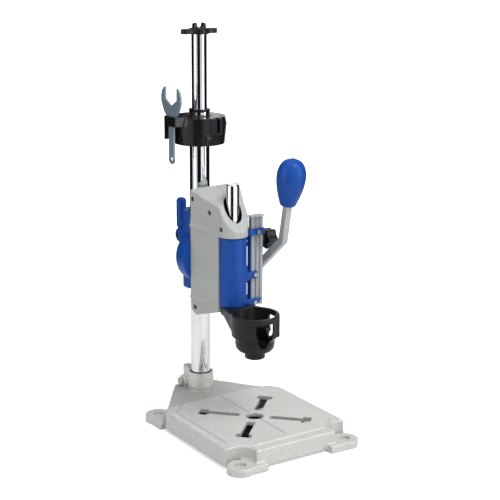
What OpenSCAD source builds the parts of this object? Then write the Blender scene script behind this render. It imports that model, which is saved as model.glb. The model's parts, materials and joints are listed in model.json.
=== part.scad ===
// Bench drill stand for a handheld rotary tool: a cast base with a chrome
// column, a tilting carriage with a lever-fed slide, and a tool cup.
// Millimetres, +Z up. The origin is on the bench, at the centre of the four
// bench bolts. The front of the stand faces -Y.

/* [Base] */
// Spacing of the bench bolts across the stand
bolt_x = 150; // [130:1:180]
// Spacing of the bench bolts from front to back
bolt_y = 192; // [180:1:210]
// Diameter of the bench bolt holes
bolt_hole_d = 7; // [5:0.5:9]
// Height of the foot pads
foot_h = 9.5; // [7:0.5:12]
// Radius of the rounded foot pads
foot_r = 16; // [13:0.5:18]
// Height of the work plate above the bench
plate_z = 26; // [22:0.5:32]
// Thickness of the work plate
plate_t = 6; // [4:0.5:8]
// Height of the smooth plate above its border
plate_step = 1.5; // [0.8:0.1:2.5]
// Half width of the cast body
base_half_w = 86; // [82:1:96]
// Thickness of the side walls of the base
base_wall = 6; // [4:0.5:9]
// Gap between the side walls and the bench
base_lift = 3; // [2:0.5:5]
// Diameter of the hole under the drill
centre_hole_d = 21; // [14:0.5:26]
// Width of the stem of each clamp slot
slot_w = 10; // [7:0.5:13]
// Width of the head of each clamp slot
slot_head_w = 19; // [15:0.5:24]
// Distance from the drill axis to the far end of each clamp slot
slot_reach = 70; // [60:1:74]

/* [Column] */
// Distance of the column axis behind the centre of the bench bolts
column_back = 115.5; // [112:0.5:122]
// Distance from the column axis to the drill axis
throat = 127; // [124:0.5:131]
// Outer diameter of the lower tube
tube_d = 25.4; // [24:0.1:26]
// Wall of the lower tube
tube_wall = 1.6; // [1.2:0.1:2]
// Height of the top of the lower tube
tube_top = 386; // [380:1:405]
// Outer diameter of the telescoping upper tube
mast_d = 19.05; // [17:0.05:20]
// Wall of the upper tube
mast_wall = 1.5; // [1:0.1:2]
// Length of the upper tube
mast_len = 350; // [300:5:360]
// Height of the top of the upper tube
mast_top = 484; // [478:1:500]
// Outer diameter of the socket that holds the column
socket_d = 33; // [31:0.5:38]
// Height of the top of the socket
socket_top = 47; // [44:0.5:55]

/* [Storage drum] */
// Radius of the drum
drum_r = 34; // [32:0.5:38]
// Height of the drum
drum_h = 34.2; // [32:0.2:40]
// Wall of the drum
drum_wall = 3; // [2:0.5:4]
// Number of bit holes in the top of the drum
bit_holes = 14; // [8:1:16]
// Diameter of the bit holes
bit_hole_d = 3.6; // [2.5:0.1:4.5]
// Distance from the column axis to the wrench
wrench_reach = 39.8; // [38:0.2:44]
// Length of the wrench
wrench_len = 94.5; // [90:0.5:102]
// Width of the wrench head
wrench_head_w = 47; // [44:0.5:50]
// Width of the wrench jaw
jaw_w = 28; // [25:0.5:29]
// Width of the wrench shank
wrench_shank_w = 11.6; // [10:0.2:13]
// Thickness of the wrench
wrench_t = 2.6; // [2:0.1:3.2]

/* [Clamp] */
// Height of the tilt axis
tilt_z = 204.5; // [198:0.5:208]
// Radius of the round clamp face
clamp_r = 36; // [34:0.5:38]
// Outer radius of the clamp sleeve
sleeve_r = 22; // [20:0.5:24]
// Wall of the plastic liner on the column
liner_t = 2; // [1.5:0.1:2.5]
// Thickness of the clamp in front of the liner
clamp_web = 4.4; // [4:0.2:6]
// Length of the cam lever handle
cam_handle_len = 37; // [32:1:44]
// Diameter of the cam lever handle
cam_handle_d = 13; // [11:0.5:15]

/* [Carriage] */
// Half width of the carriage at its back
back_half_w = 26; // [25:0.5:28]
// Half width of the carriage at its front
front_half_w = 19; // [18.5:0.5:21]
// Wall of the carriage shells
shell_wall = 4; // [3:0.5:5]
// Height of the lowest edge of the carriage, at its back
carriage_bottom = 131; // [128:1:134]
// Height of the top edge at the back of the carriage
carriage_top = 294; // [290:1:298]
// Height of the underside of the head that guides the rod
head_z = 243; // [241:0.5:246]

/* [Slide] */
// Distance from the column axis to the guide rod
rod_reach = 76.5; // [76:0.5:78]
// Diameter of the guide rod
rod_d = 16; // [14:0.5:17]
// Height of the top of the guide rod
rod_top = 307; // [303:1:310]
// Outer radius of the rounded front of the slide
slide_r = 17.5; // [16.5:0.5:18.5]
// Height of the underside of the slide
slide_bottom = 156; // [154:0.5:158]
// Width of the gauge rail
rail_w = 17; // [15:0.5:18]
// Depth of the gauge rail
rail_t = 7; // [6:0.5:8]
// Height of the top of the gauge rail
rail_top = 263; // [260:1:266]

/* [Tool cup] */
// Radius of the cup
cup_r = 28.5; // [27:0.5:30]
// Wall of the cup
cup_wall = 2.5; // [2:0.25:3.5]
// Height of the bottom of the nose
nose_bottom = 101.5; // [99:0.5:103]
// Outer radius of the nose
nose_r = 12.4; // [12:0.2:14]
// Radius of the bore that takes the front of the rotary tool
tool_bore_r = 9.6; // [8.5:0.1:10.2]

/* [Feed lever] */
// Height of the pinion shaft
shaft_z = 177.5; // [175:0.5:180]
// Diameter of the pinion shaft
shaft_d = 10; // [8:0.5:11]
// Tooth module of the sector gear and the rack
gear_module = 1.5; // [1.4:0.05:1.55]
// Teeth that a full turn of the sector gear would have
gear_teeth = 34; // [33:1:35]
// Width of the sector gear
gear_w = 8; // [6:0.5:9]
// Distance of the middle of the lever from the middle of the stand
lever_x = 52.5; // [50:0.5:54]
// Thickness of the lever
lever_t = 8.5; // [7:0.5:9.5]
// Length of the lever arm from the shaft to the bend
lever_arm_len = 93; // [86:1:97]
// Rise of the lever arm above level
lever_arm_rise = 40; // [36:1:44]
// Length of the lever stem from the bend to the knob
lever_stem_len = 46; // [40:1:52]
// Lean of the lever stem towards the front
lever_stem_lean = 11; // [8:1:14]
// Height of the lever knob
knob_h = 61; // [54:1:66]
// Largest radius of the lever knob
knob_r = 18; // [15:0.5:19]

/* [Hidden] */
$fn = 64;

// Colours
cast_grey = "#bdbfbb";
chrome = "#d9dcdf";
black_plastic = "#29272a";
blue_plastic = "#1f4fa3";
shell_grey = "#a9adab";
light_grey = "#c4c5c0";
steel = "#9aa0a4";
wrench_steel = "#667880";
bronze = "#a9834f";

// Clearances
run_gap = 0.06;
face_gap = 0.3;
slide_gap = 0.35;
weld = 0.5;
cut = 1;
overcut = 400;

// Places along the middle of the stand, front to back
drill_y = column_back - throat;
rod_y = column_back - rod_reach;
liner_r = tube_d / 2 + liner_t;
clamp_front_y = column_back - liner_r - clamp_web;
carriage_back_y = clamp_front_y - face_gap;
carriage_front_y = rod_y + 4;

// Base
border_z = plate_z - plate_step;
base_front_y = -bolt_y / 2 - 6;
base_shoulder_y = 58;
deck_behind = 29;
base_rear_y = column_back + deck_behind;
deck_half_w = 22;
deck_z = border_z - 2;
border_w = 12;
plate_front_y = base_front_y + 14;
plate_rear_y = 72;
plate_corner = 22;
deck_edge = 1.5;
scoop_r = foot_r + 3;
pad_inset = 1.5;
pad_len = 30;
hole_bevel = 1;
cross_long_w = 1.2;
cross_side_w = 0.5;
cross_depth = 0.6;
cross_half_x = 62;
cross_front = 68;
cross_rear = 78;
slot_start = centre_hole_d / 2 + 9;
slot_head_len = 11;
tick_count = 13;
tick_pitch = 8;
tick_start = 46;
tick_inset = 2;
tick_w = 1;
long_tick = 9;
short_tick = 7;
tick_h = 0.5;
socket_bottom = deck_z - 8;
column_seat = socket_bottom;
block_half_w = 11;
block_top = socket_top + 3;
block_back = column_back + 27;
clamp_slit = 3;
socket_screw_d = 6;
socket_screw_y = column_back + 21;
socket_screw_z = deck_z + 6.5;
lug_half_w = 16;
lug_r = 8;
hex_head_h = 4;
hex_head_r = 5.8;

// Column and drum
drum_top = tube_top - 5;
drum_bottom = drum_top - drum_h;
bush_flange_h = 3.5;
bush_sleeve = 40;
drum_hub_wall = 4;
drum_taper = 2.6;
drum_belly = 9;
drum_shoulder = 2;
hub_lip_w = 2;
hub_lip_h = 1.2;
drum_screw_rise = 8;
bit_ring_r = drum_r - 7;
pocket_x = 3.8;
pocket_w = 16.8;
pocket_h = 21;
pocket_out = 1.2;
pocket_slot_x = 6;
pocket_slot_w = 3.6;
pocket_sill = 3.2;
tab_x = [-10.5, -1.8];
tab_rise = [3, 13];
tab_out = 0.4;
holder_t = 2;
strap_t = 1.6;
seat_half_w = wrench_head_w * 0.24;
holder_half_y = seat_half_w + holder_t;
end_wall_t = holder_t - 0.2;
end_wall_h = 29.5;
slot_in = wrench_reach - wrench_t / 2 - slide_gap;
slot_out = wrench_reach + wrench_t / 2 + slide_gap;
holder_out = slot_out + strap_t;
holder_top = drum_top + 1.5;
holder_h = 12;
wrench_rise = 37;
wrench_top = drum_top + wrench_rise;
eye_r = 6.4;
eye_hole_r = 3.2;
eye_steps = 14;
eye_start = -acos(min(1, wrench_shank_w / 2 / eye_r));
eye_stop = 84;
jaw_flat = 14.4;
jaw_depth = jaw_flat + jaw_w / 2 * tan(30);
cap_hub_r = 12;
cap_hub_h = 7;
cap_lap = 3;
cap_plug_h = 14;
cap_wing_h = 6;
cap_wing_half_w = 5;
cap_wing_end_r = 5.6;
cap_wing_reach = 25;
prong_half_w = 8.5;
prong_t = 5.5;
prong_h = 6.5;
prong_corner = 1.8;
saddle_r = 4.3;
saddle_depth = 6;
saddle_step = 15;
mast_bottom = mast_top - mast_len;
plug_h = 18;

// Clamp on the column
clamp_below = 42;
clamp_above = 57.5;
clamp_bottom = tilt_z - clamp_below;
clamp_top = tilt_z + clamp_above;
clamp_rear_y = column_back + 5.5;
clamp_rear_r = clamp_r - 6;
split_gap = 0.6;
clamp_bolt_x = 23;
clamp_bolt_z = 10;
clamp_bolt_d = 5;
bolt_head_d = 7.5;
bolt_head_h = 3;
bolt_sink = 2.8;
cam_above = 17.5;
cam_z = tilt_z + cam_above;
cam_y = column_back + sleeve_r + 14.5;
cam_r = 7.5;
cam_half_w = 5;
cam_throw = 0.6;
cam_pin_d = 6;
fork_t = 5;
fork_r = 9;
handle_y = cam_y + 10;
handle_z = cam_z + fork_r + slide_gap;
pad_d = 9;
pivot_d = 9;
pivot_head_r = 8;
pivot_head_t = 2.6;

// Carriage
back_wall = 6;
cavity_back_y = carriage_back_y - back_wall;
cavity_top = 262;
bottom_rise = 16;
back_corner = 9;
roof_fall = 0.278;
brow_slope = 1.48;
brow_top_z = 262;
brow_y = rod_y - 10.7;
facet_x = 0.472;
facet_y = 0.309;
rib_r = 4;
rib_sink = 1.4;
rib_front_y = 60;
rib_low_z = 157;
rib_high_z = 249;
screw_d = 4;
screw_head_d = 6.4;
screw_sink = 4;
// Side screws as [distance behind the origin, height, inner end]
side_screws = [
    [carriage_back_y - 3.5, 282, 12],
    [rod_y + 20.5, 270, 12],
    [carriage_back_y - 8, 144, 12],
    [rod_y - 2, 253, -11.3]
];
bush_r = 11;
bush_h = 17;
lock_y = rod_y + 19;
lock_z = 227.5;
lock_d = 6;
lock_hub_r = 6;
nut_r = 6;
nut_t = 6;
nut_x = 9;
stop_lug_z = [154, 161];
stop_lug_x = 40;

// Slide, rack and gear
slide_top = head_z - 1;
rib_half_w = 9;
rib_wall = 1.5;
rib_back_y = rod_y + rod_d / 2 + rib_wall;
rack_web = 2;
pressure_angle = 20;
backlash = 0.3;
pitch_r = gear_module * gear_teeth / 2;
base_r = pitch_r * cos(pressure_angle);
tip_r = pitch_r + gear_module;
root_r = pitch_r - 1.25 * gear_module;
rack_pitch = PI * gear_module;
rack_pitch_y = rib_back_y + rack_web + 1.25 * gear_module;
shaft_y = rack_pitch_y + pitch_r;
rack_low = shaft_z - 14;
rack_end = 4.5;
rack_high = slide_top - rack_end;
gear_first = 66;
gear_last = 192;
gear_hub_r = 11;
flank_steps = 4;
shaft_bush_r = 8;
boss_r = 11.5;
shaft_left = -20;
bush_left = -21.5;
bush_left_end = -17;
bush_right = gear_w / 2 + face_gap;
spring_r = 9.4;
spring_wire = 1.6;
spring_turns = 5;
spring_pitch = 2.1;
spring_rings = 8;
spring_sides = 6;
rail_x = 25;
rail_front_y = rod_y - 4;
rail_bottom = 151;
rail_groove = 1.5;
rail_cap_h = 2.5;
cap_lip = 1;
cap_hook = 4.5;
strip_t = 1.8;
arm_y = rail_front_y - 3;
arm_root_x = slide_r - 5;
flute_r = 5;
flute_depth = 1.4;
flute_turn = 37;
arm_low_z = [151, 160.3];
arm_high_z = [186.5, 195.5];
arm_low_end = 38.6;
arm_high_end = 32.4;
arm_low_corner = [9.9, 7.3];
arm_high_gusset = 2.5;
cup_arm_clear = 1.2;
arm_screw_x = 28.8;
arm_screw_d = 3;
stop_drop = 22;
stop_bottom = rail_top - stop_drop;
stop_h = 8;
stop_wall = 2.2;
stop_right_wall = 1;
stop_tongue = 6;
stop_screw_d = 3;
rail_pin_x = [slide_r - 4, slide_r + 2.6];
rail_pin_z = stop_bottom - 7;
rail_pin_d = 4;

// Tool cup
rim_above = 1;
rim_h = slide_bottom + rim_above - nose_bottom;
rim_flare = 1;
cup_step = 29;
cup_waist_r = cup_r - 4.5;
cup_floor = 14;
nose_h = 8.5;
cup_arm_half_w = 15;
cup_arm_inset = 2.5;
cup_arm_wide_y = drill_y + cup_r * 0.4;
arm_rear_h = 11;
arm_front_h = 26;
post_turn = 308;
post_r = 4;
post_out = 1.5;
post_h = 27;
window_turn = 45;
window_half_w = 11.5;
window_top = 48.5;
window_point = 16;
rod_seat = 6;
cup_screw_d = 4;
cup_screw_y = rod_y - rod_d / 2 - 4.5;

// Lever
hub_r = 12;
spacer_r = shaft_d / 2 + 2.5;
arm_w = 10;
bend_y = shaft_y - lever_arm_len * cos(lever_arm_rise);
bend_z = shaft_z + lever_arm_len * sin(lever_arm_rise);
stem_end = [bend_y, bend_z] + lever_stem_len * [-sin(lever_stem_lean), cos(lever_stem_lean)];
lever_in = lever_x - lever_t / 2;
lever_out = lever_x + lever_t / 2;
knob_neck_r = 9.5;
knob_steps = 12;
knob_belly = 0.62;
stem_sink = 14;
stem_r = 4;
lock_knob_in = lever_out + 1.2;
lock_knob_t = 14;
lock_knob_r = 13.5;
lobe_count = 6;
lobe_steps = 12;
lobe_h = 1.3;

// Helpers

// A solid whose outline lies in the side view: x of the outline runs to the
// back, y of it runs up, and it is centred across the stand at mid_x.
module side_extrude(width, mid_x = 0) {
    translate([mid_x - width / 2, 0, 0])
        rotate([90, 0, 90])
            linear_extrude(width) children();
}

// A solid whose outline lies in the front view, between two distances behind
// the origin
module front_extrude(y0, y1) {
    translate([0, y1, 0])
        rotate([90, 0, 0])
            linear_extrude(y1 - y0) children();
}

// A round bar across the stand
module cross_bar(x0, x1, y, z, d) {
    translate([x0, y, z])
        rotate([0, 90, 0])
            cylinder(d = d, h = x1 - x0);
}

// A round bar from front to back
module long_bar(y0, y1, x, z, d) {
    translate([x, y0, z])
        rotate([-90, 0, 0])
            cylinder(d = d, h = y1 - y0);
}

// A box between two corners
module box(low, high) {
    translate(low) cube(high - low);
}

// A round tube that stands upright
module tube(outer_d, inner_d, low, high) {
    difference() {
        translate([0, 0, low]) cylinder(d = outer_d, h = high - low);
        translate([0, 0, low - cut]) cylinder(d = inner_d, h = high - low + 2 * cut);
    }
}

// Half width of the hollow under the rear deck at a distance behind the origin
function deck_x(y) = base_half_w - 2 * base_wall
    - (base_half_w - deck_half_w) * (y - base_shoulder_y) / (base_rear_y - base_shoulder_y);

// Half width of the carriage at a distance behind the origin
function half_w(y) = front_half_w
    + (back_half_w - front_half_w) * (y - carriage_front_y) / (carriage_back_y - carriage_front_y);

// Base

module base_outline() {
    polygon([
        [-base_half_w, base_front_y], [base_half_w, base_front_y],
        [base_half_w, base_shoulder_y], [deck_half_w, base_rear_y],
        [-deck_half_w, base_rear_y], [-base_half_w, base_shoulder_y]
    ]);
}

// Hollow under the plate, drawn around the scoops of the front feet
module plate_hollow() {
    wide = base_half_w - base_wall;
    narrow = bolt_x / 2 - scoop_r - base_wall;
    front = base_front_y + base_wall;
    notch = -bolt_y / 2 + scoop_r + base_wall;
    rear = base_shoulder_y - base_wall;
    polygon([
        [-narrow, front], [narrow, front], [narrow, notch], [wide, notch],
        [wide, rear], [-wide, rear], [-wide, notch], [-narrow, notch]
    ]);
}

// Hollow under the rear deck
module deck_hollow() {
    front = base_shoulder_y + base_wall / 2;
    rear = column_back - socket_d / 2 - base_wall;
    polygon([
        [-deck_x(front), front], [deck_x(front), front], [deck_x(rear), rear], [-deck_x(rear), rear]
    ]);
}

module plate_outline() {
    wide = base_half_w - border_w;
    polygon([
        [-wide + plate_corner, plate_front_y], [wide - plate_corner, plate_front_y],
        [wide, plate_front_y + plate_corner], [wide, plate_rear_y - plate_corner],
        [wide - plate_corner, plate_rear_y], [-wide + plate_corner, plate_rear_y],
        [-wide, plate_rear_y - plate_corner], [-wide, plate_front_y + plate_corner]
    ]);
}

module foot_pad() {
    cylinder(r = foot_r, h = foot_h);
    box([-foot_r + pad_inset, 0, 0], [foot_r - pad_inset, pad_len, foot_h]);
}

module foot_pads() {
    for (side = [-1, 1]) {
        translate([side * bolt_x / 2, -bolt_y / 2, 0]) rotate(side * 90) foot_pad();
        translate([side * bolt_x / 2, bolt_y / 2, 0]) rotate(180) foot_pad();
    }
}

module clamp_slot() {
    box([slot_start, -slot_w / 2, 0], [slot_reach - slot_head_len / 2, slot_w / 2, plate_z + cut]);
    box([slot_reach - slot_head_len, -slot_head_w / 2, 0],
        [slot_reach, slot_head_w / 2, plate_z + cut]);
}

module column_socket() {
    translate([0, column_back, socket_bottom]) cylinder(d = socket_d, h = socket_top - socket_bottom);
    box([-block_half_w, column_back, socket_bottom], [block_half_w, block_back, block_top]);
    cross_bar(-lug_half_w, lug_half_w, socket_screw_y, socket_screw_z, 2 * lug_r);
}

module ruler_ticks() {
    for (i = [0:tick_count - 1])
        translate([-base_half_w + tick_inset, tick_start - i * tick_pitch, border_z - cut])
            cube([i % 5 == 0 ? long_tick : short_tick, tick_w, cut + tick_h]);
}

module base_body() {
    difference() {
        union() {
            translate([0, 0, base_lift]) linear_extrude(border_z - base_lift) base_outline();
            translate([0, 0, border_z - plate_t / 2])
                linear_extrude(plate_z - border_z + plate_t / 2) plate_outline();
        }
        box([-base_half_w - cut, plate_rear_y + deck_edge, deck_z],
            [base_half_w + cut, base_rear_y + cut, plate_z]);
        for (side = [-1, 1])
            translate([side * bolt_x / 2, -bolt_y / 2, -cut]) cylinder(r = scoop_r, h = plate_z + 2 * cut);
        linear_extrude(plate_z - plate_t) plate_hollow();
        linear_extrude(deck_z - plate_t) deck_hollow();
    }
}

module base_casting() {
    color(cast_grey)
        difference() {
            union() {
                base_body();
                foot_pads();
                column_socket();
                ruler_ticks();
            }
            for (x = [-1, 1], y = [-1, 1])
                translate([x * bolt_x / 2, y * bolt_y / 2, -cut])
                    cylinder(d = bolt_hole_d, h = foot_h + 2 * cut);
            translate([0, column_back, column_seat])
                cylinder(r = tube_d / 2 + run_gap, h = block_top);
            box([-clamp_slit / 2, column_back, column_seat],
                [clamp_slit / 2, block_back + cut, block_top + cut]);
            cross_bar(-lug_half_w - cut, lug_half_w + cut, socket_screw_y, socket_screw_z,
                socket_screw_d + 2 * run_gap);
            translate([0, drill_y, 0]) {
                cylinder(d = centre_hole_d, h = plate_z + cut);
                translate([0, 0, plate_z - hole_bevel])
                    cylinder(d1 = centre_hole_d, d2 = centre_hole_d + 4 * hole_bevel, h = 2 * hole_bevel);
                for (k = [0:3]) rotate(45 + 90 * k) clamp_slot();
                box([-cross_long_w / 2, -cross_front, plate_z - cross_depth],
                    [cross_long_w / 2, cross_rear, plate_z + cut]);
                box([-cross_half_x, -cross_side_w / 2, plate_z - cross_depth],
                    [cross_half_x, cross_side_w / 2, plate_z + cut]);
            }
        }
}

module socket_screw() {
    color(steel) {
        cross_bar(-lug_half_w, lug_half_w + hex_head_h + 2, socket_screw_y, socket_screw_z, socket_screw_d);
        translate([-lug_half_w - hex_head_h, socket_screw_y, socket_screw_z])
            rotate([0, 90, 0]) cylinder(r = hex_head_r, h = hex_head_h, $fn = 6);
    }
}

module socket_nut() {
    color(steel)
        difference() {
            translate([lug_half_w, socket_screw_y, socket_screw_z])
                rotate([0, 90, 0]) cylinder(r = hex_head_r, h = hex_head_h, $fn = 6);
            cross_bar(lug_half_w - cut, lug_half_w + hex_head_h + cut, socket_screw_y, socket_screw_z,
                socket_screw_d + 2 * run_gap);
        }
}

// Column, drum and mast

module lower_tube() {
    color(chrome)
        translate([0, column_back, 0])
            tube(tube_d, tube_d - 2 * tube_wall, column_seat, tube_top);
}

module tube_bush() {
    color(black_plastic)
        translate([0, column_back, 0])
            difference() {
                union() {
                    translate([0, 0, tube_top - bush_sleeve])
                        cylinder(d = tube_d - 2 * tube_wall - 2 * run_gap, h = bush_sleeve + weld);
                    translate([0, 0, tube_top]) cylinder(d = tube_d + 1, h = bush_flange_h);
                }
                translate([0, 0, tube_top - bush_sleeve - cut])
                    cylinder(d = mast_d + 2 * run_gap, h = bush_sleeve + bush_flange_h + 2 * cut);
            }
}

module drum_profile() {
    hub_r = tube_d / 2 + run_gap;
    polygon([
        [hub_r, 0], [hub_r + drum_hub_wall, 0], [hub_r + drum_hub_wall, drum_h - drum_wall],
        [drum_r - drum_wall, drum_h - drum_wall], [drum_r - drum_wall - drum_taper, 0],
        [drum_r - drum_taper, 0], [drum_r, drum_h - drum_belly], [drum_r - drum_shoulder, drum_h],
        [hub_r + hub_lip_w, drum_h], [hub_r + hub_lip_w, drum_h + hub_lip_h], [hub_r, drum_h + hub_lip_h]
    ]);
}

// Loop that holds the wrench on the left of the drum, with a long rear wall
module wrench_holder() {
    low = holder_top - holder_h;
    difference() {
        union() {
            box([-holder_out, -holder_half_y, low], [0, holder_half_y, holder_top]);
            box([-holder_out, holder_half_y - end_wall_t, holder_top - end_wall_h],
                [0, holder_half_y, low + cut]);
        }
        translate([0, 0, drum_bottom - cut])
            cylinder(r = drum_r - drum_wall + weld / 2, h = holder_top - drum_bottom + 2 * cut);
    }
}

// Slotted pocket and the flat tab on the front of the drum
module drum_pocket() {
    box([pocket_x - pocket_w / 2, -drum_r - pocket_out, drum_top - pocket_h],
        [pocket_x + pocket_w / 2, -drum_r + 2 * drum_wall, drum_top - cut]);
    box([tab_x[0], -drum_r - tab_out, drum_bottom + tab_rise[0]],
        [tab_x[1], -drum_r + 2 * drum_wall, drum_bottom + tab_rise[1]]);
}

module bit_hole_ring() {
    step = 360 / bit_holes;
    for (i = [1:bit_holes - 1])
        if (abs(i * step - 180) > 30 && abs(i * step - 270) > 30)
            rotate(i * step)
                translate([bit_ring_r, 0, drum_top - drum_wall - cut])
                    cylinder(d = bit_hole_d, h = drum_wall + 2 * cut);
}

module storage_drum() {
    color(black_plastic)
        translate([0, column_back, 0])
            difference() {
                union() {
                    translate([0, 0, drum_bottom]) rotate_extrude() drum_profile();
                    wrench_holder();
                    drum_pocket();
                }
                box([-slot_out, -seat_half_w, drum_bottom - cut], [-slot_in, seat_half_w, holder_top + cut]);
                bit_hole_ring();
                box([pocket_slot_x - pocket_slot_w / 2, -drum_r - 2 * pocket_out,
                        drum_top - pocket_h + pocket_sill],
                    [pocket_slot_x + pocket_slot_w / 2, -drum_r + 2 * drum_wall + cut, drum_top + cut]);
                long_bar(0, drum_r + cut, 0, drum_bottom + drum_screw_rise, screw_d + 2 * run_gap);
            }
}

module drum_screw() {
    color(steel)
        translate([0, column_back, 0])
            long_bar(tube_d / 2 + run_gap, drum_r - drum_taper, 0, drum_bottom + drum_screw_rise, screw_d);
}

// Right half of the wrench head as [half width, distance below the tips]
function wrench_edge() = [
    [wrench_head_w * 0.34, 0], [wrench_head_w * 0.44, 4], [wrench_head_w * 0.5, 11],
    [wrench_head_w * 0.495, 18], [wrench_head_w * 0.44, 23.5], [wrench_head_w * 0.355, 30.5],
    [wrench_head_w * 0.225, 36], [wrench_shank_w / 2, 41],
    for (i = [0:eye_steps])
        let (a = eye_start + (eye_stop - eye_start) * i / eye_steps)
            [eye_r * cos(a), wrench_len - eye_r + eye_r * sin(a)]
];

module wrench_outline() {
    edge = wrench_edge();
    last = len(edge) - 1;
    difference() {
        polygon(concat(
            [for (e = edge) [e[0], -e[1]]],
            [for (i = [last:-1:0]) [-edge[i][0], -edge[i][1]]]
        ));
        polygon([
            [-jaw_w / 2, cut], [-jaw_w / 2, -jaw_flat], [0, -jaw_depth],
            [jaw_w / 2, -jaw_flat], [jaw_w / 2, cut]
        ]);
        translate([0, eye_r - wrench_len]) circle(r = eye_hole_r);
    }
}

module collet_wrench() {
    color(wrench_steel)
        side_extrude(wrench_t, -wrench_reach)
            translate([column_back, wrench_top]) wrench_outline();
}

module upper_tube() {
    color(chrome)
        translate([0, column_back, 0])
            tube(mast_d, mast_d - 2 * mast_wall, mast_bottom, mast_top);
}

module tube_plug() {
    color(black_plastic)
        translate([0, column_back, mast_bottom - 4]) {
            cylinder(d = tube_d - 2 * tube_wall - 2 * run_gap, h = 4);
            cylinder(d = mast_d - 2 * mast_wall - 2 * run_gap, h = plug_h);
        }
}

// Two prongs with a round saddle between them, seen from the front
module prong_outline(low, high) {
    saddle_z = high - saddle_depth + saddle_r;
    polygon(concat(
        [[-prong_half_w, low], [-prong_half_w, high - prong_corner], [-prong_half_w + prong_corner, high]],
        [[-saddle_r, high]],
        [for (a = [180:saddle_step:360]) [saddle_r * cos(a), saddle_z + saddle_r * sin(a)]],
        [[saddle_r, high]],
        [[prong_half_w - prong_corner, high], [prong_half_w, high - prong_corner], [prong_half_w, low]]
    ));
}

// Cap with two wings and two prongs, and a plug that holds it in the tube
module hook_cap() {
    low = mast_top - cap_lap;
    high = low + cap_hub_h;
    wing_mid = cap_wing_reach - cap_wing_end_r;
    color(black_plastic)
        translate([0, column_back, 0]) {
            difference() {
                union() {
                    translate([0, 0, low]) cylinder(r = cap_hub_r, h = cap_hub_h);
                    translate([0, 0, low + (cap_hub_h - cap_wing_h) / 2]) {
                        box([-wing_mid, -cap_wing_half_w, 0], [wing_mid, cap_wing_half_w, cap_wing_h]);
                        for (side = [-1, 1])
                            translate([side * wing_mid, 0, 0]) cylinder(r = cap_wing_end_r, h = cap_wing_h);
                    }
                    front_extrude(-prong_t / 2, prong_t / 2) prong_outline(high - weld, high + prong_h);
                }
                translate([0, 0, low - cut]) cylinder(d = mast_d + 2 * run_gap, h = cap_lap + cut);
            }
            translate([0, 0, mast_top - cap_plug_h])
                cylinder(d = mast_d - 2 * mast_wall - 2 * run_gap, h = cap_plug_h + weld);
        }
}

// Clamp on the column

module column_liner() {
    color(black_plastic)
        translate([0, column_back, 0])
            tube(2 * liner_r, tube_d + 2 * run_gap, clamp_bottom, clamp_top);
}

// Round face of the clamp, which narrows behind the column
module clamp_disc(thick, rear_r) {
    cylinder(r1 = clamp_r, r2 = rear_r, h = thick);
}

module clamp_blank(low_y, high_y) {
    intersection() {
        union() {
            translate([0, low_y, tilt_z])
                rotate([-90, 0, 0])
                    clamp_disc(min(high_y, clamp_rear_y) - low_y,
                        low_y < column_back ? clamp_r : clamp_rear_r);
            translate([0, column_back, clamp_bottom])
                cylinder(r = sleeve_r, h = clamp_top - clamp_bottom);
        }
        box([-clamp_r - cut, low_y, clamp_bottom], [clamp_r + cut, high_y, clamp_top]);
    }
}

module clamp_bores() {
    translate([0, column_back, clamp_bottom - cut])
        cylinder(r = liner_r + run_gap, h = clamp_top - clamp_bottom + 2 * cut);
    for (x = [-1, 1], z = [-1, 1])
        translate([x * clamp_bolt_x, 0, tilt_z + z * clamp_bolt_z]) {
            long_bar(clamp_front_y + 4, clamp_rear_y + cut, 0, 0, clamp_bolt_d + 2 * run_gap);
            long_bar(clamp_rear_y - bolt_sink, column_back + sleeve_r + cut, 0, 0,
                bolt_head_d + 2 * face_gap);
        }
}

module clamp_front() {
    color(blue_plastic)
        difference() {
            clamp_blank(clamp_front_y, column_back - split_gap / 2);
            clamp_bores();
            long_bar(clamp_front_y - cut, column_back, 0, tilt_z, pivot_d - 2);
        }
}

module clamp_rear() {
    color(blue_plastic)
        difference() {
            union() {
                clamp_blank(column_back + split_gap / 2, column_back + sleeve_r + cut);
                for (side = [-1, 1])
                    translate([side * (cam_half_w + slide_gap + fork_t / 2), 0, 0]) {
                        cross_bar(-fork_t / 2, fork_t / 2, cam_y, cam_z, 2 * fork_r);
                        box([-fork_t / 2, column_back + liner_r + 1, cam_z - fork_r],
                            [fork_t / 2, cam_y, cam_z + fork_r]);
                    }
            }
            clamp_bores();
            cross_bar(-clamp_r, clamp_r, cam_y, cam_z, cam_pin_d + 2 * run_gap);
            long_bar(column_back, cam_y, 0, cam_z, pad_d + 2 * run_gap);
        }
}

module clamp_bolts() {
    color(steel)
        for (x = [-1, 1], z = [-1, 1])
            translate([x * clamp_bolt_x, clamp_rear_y - bolt_sink, tilt_z + z * clamp_bolt_z]) {
                long_bar(clamp_front_y + 5 - clamp_rear_y + bolt_sink, weld, 0, 0, clamp_bolt_d);
                long_bar(0, bolt_head_h, 0, 0, bolt_head_d);
            }
}

module clamp_pad() {
    color(bronze)
        difference() {
            long_bar(column_back, cam_y - cam_throw - cam_r - face_gap, 0, cam_z, pad_d);
            translate([0, column_back, cam_z - pad_d])
                cylinder(r = liner_r + run_gap, h = 2 * pad_d);
        }
}

module cam_pin() {
    reach = cam_half_w + slide_gap + fork_t + 1.5;
    color(chrome) cross_bar(-reach, reach, cam_y, cam_z, cam_pin_d);
}

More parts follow.
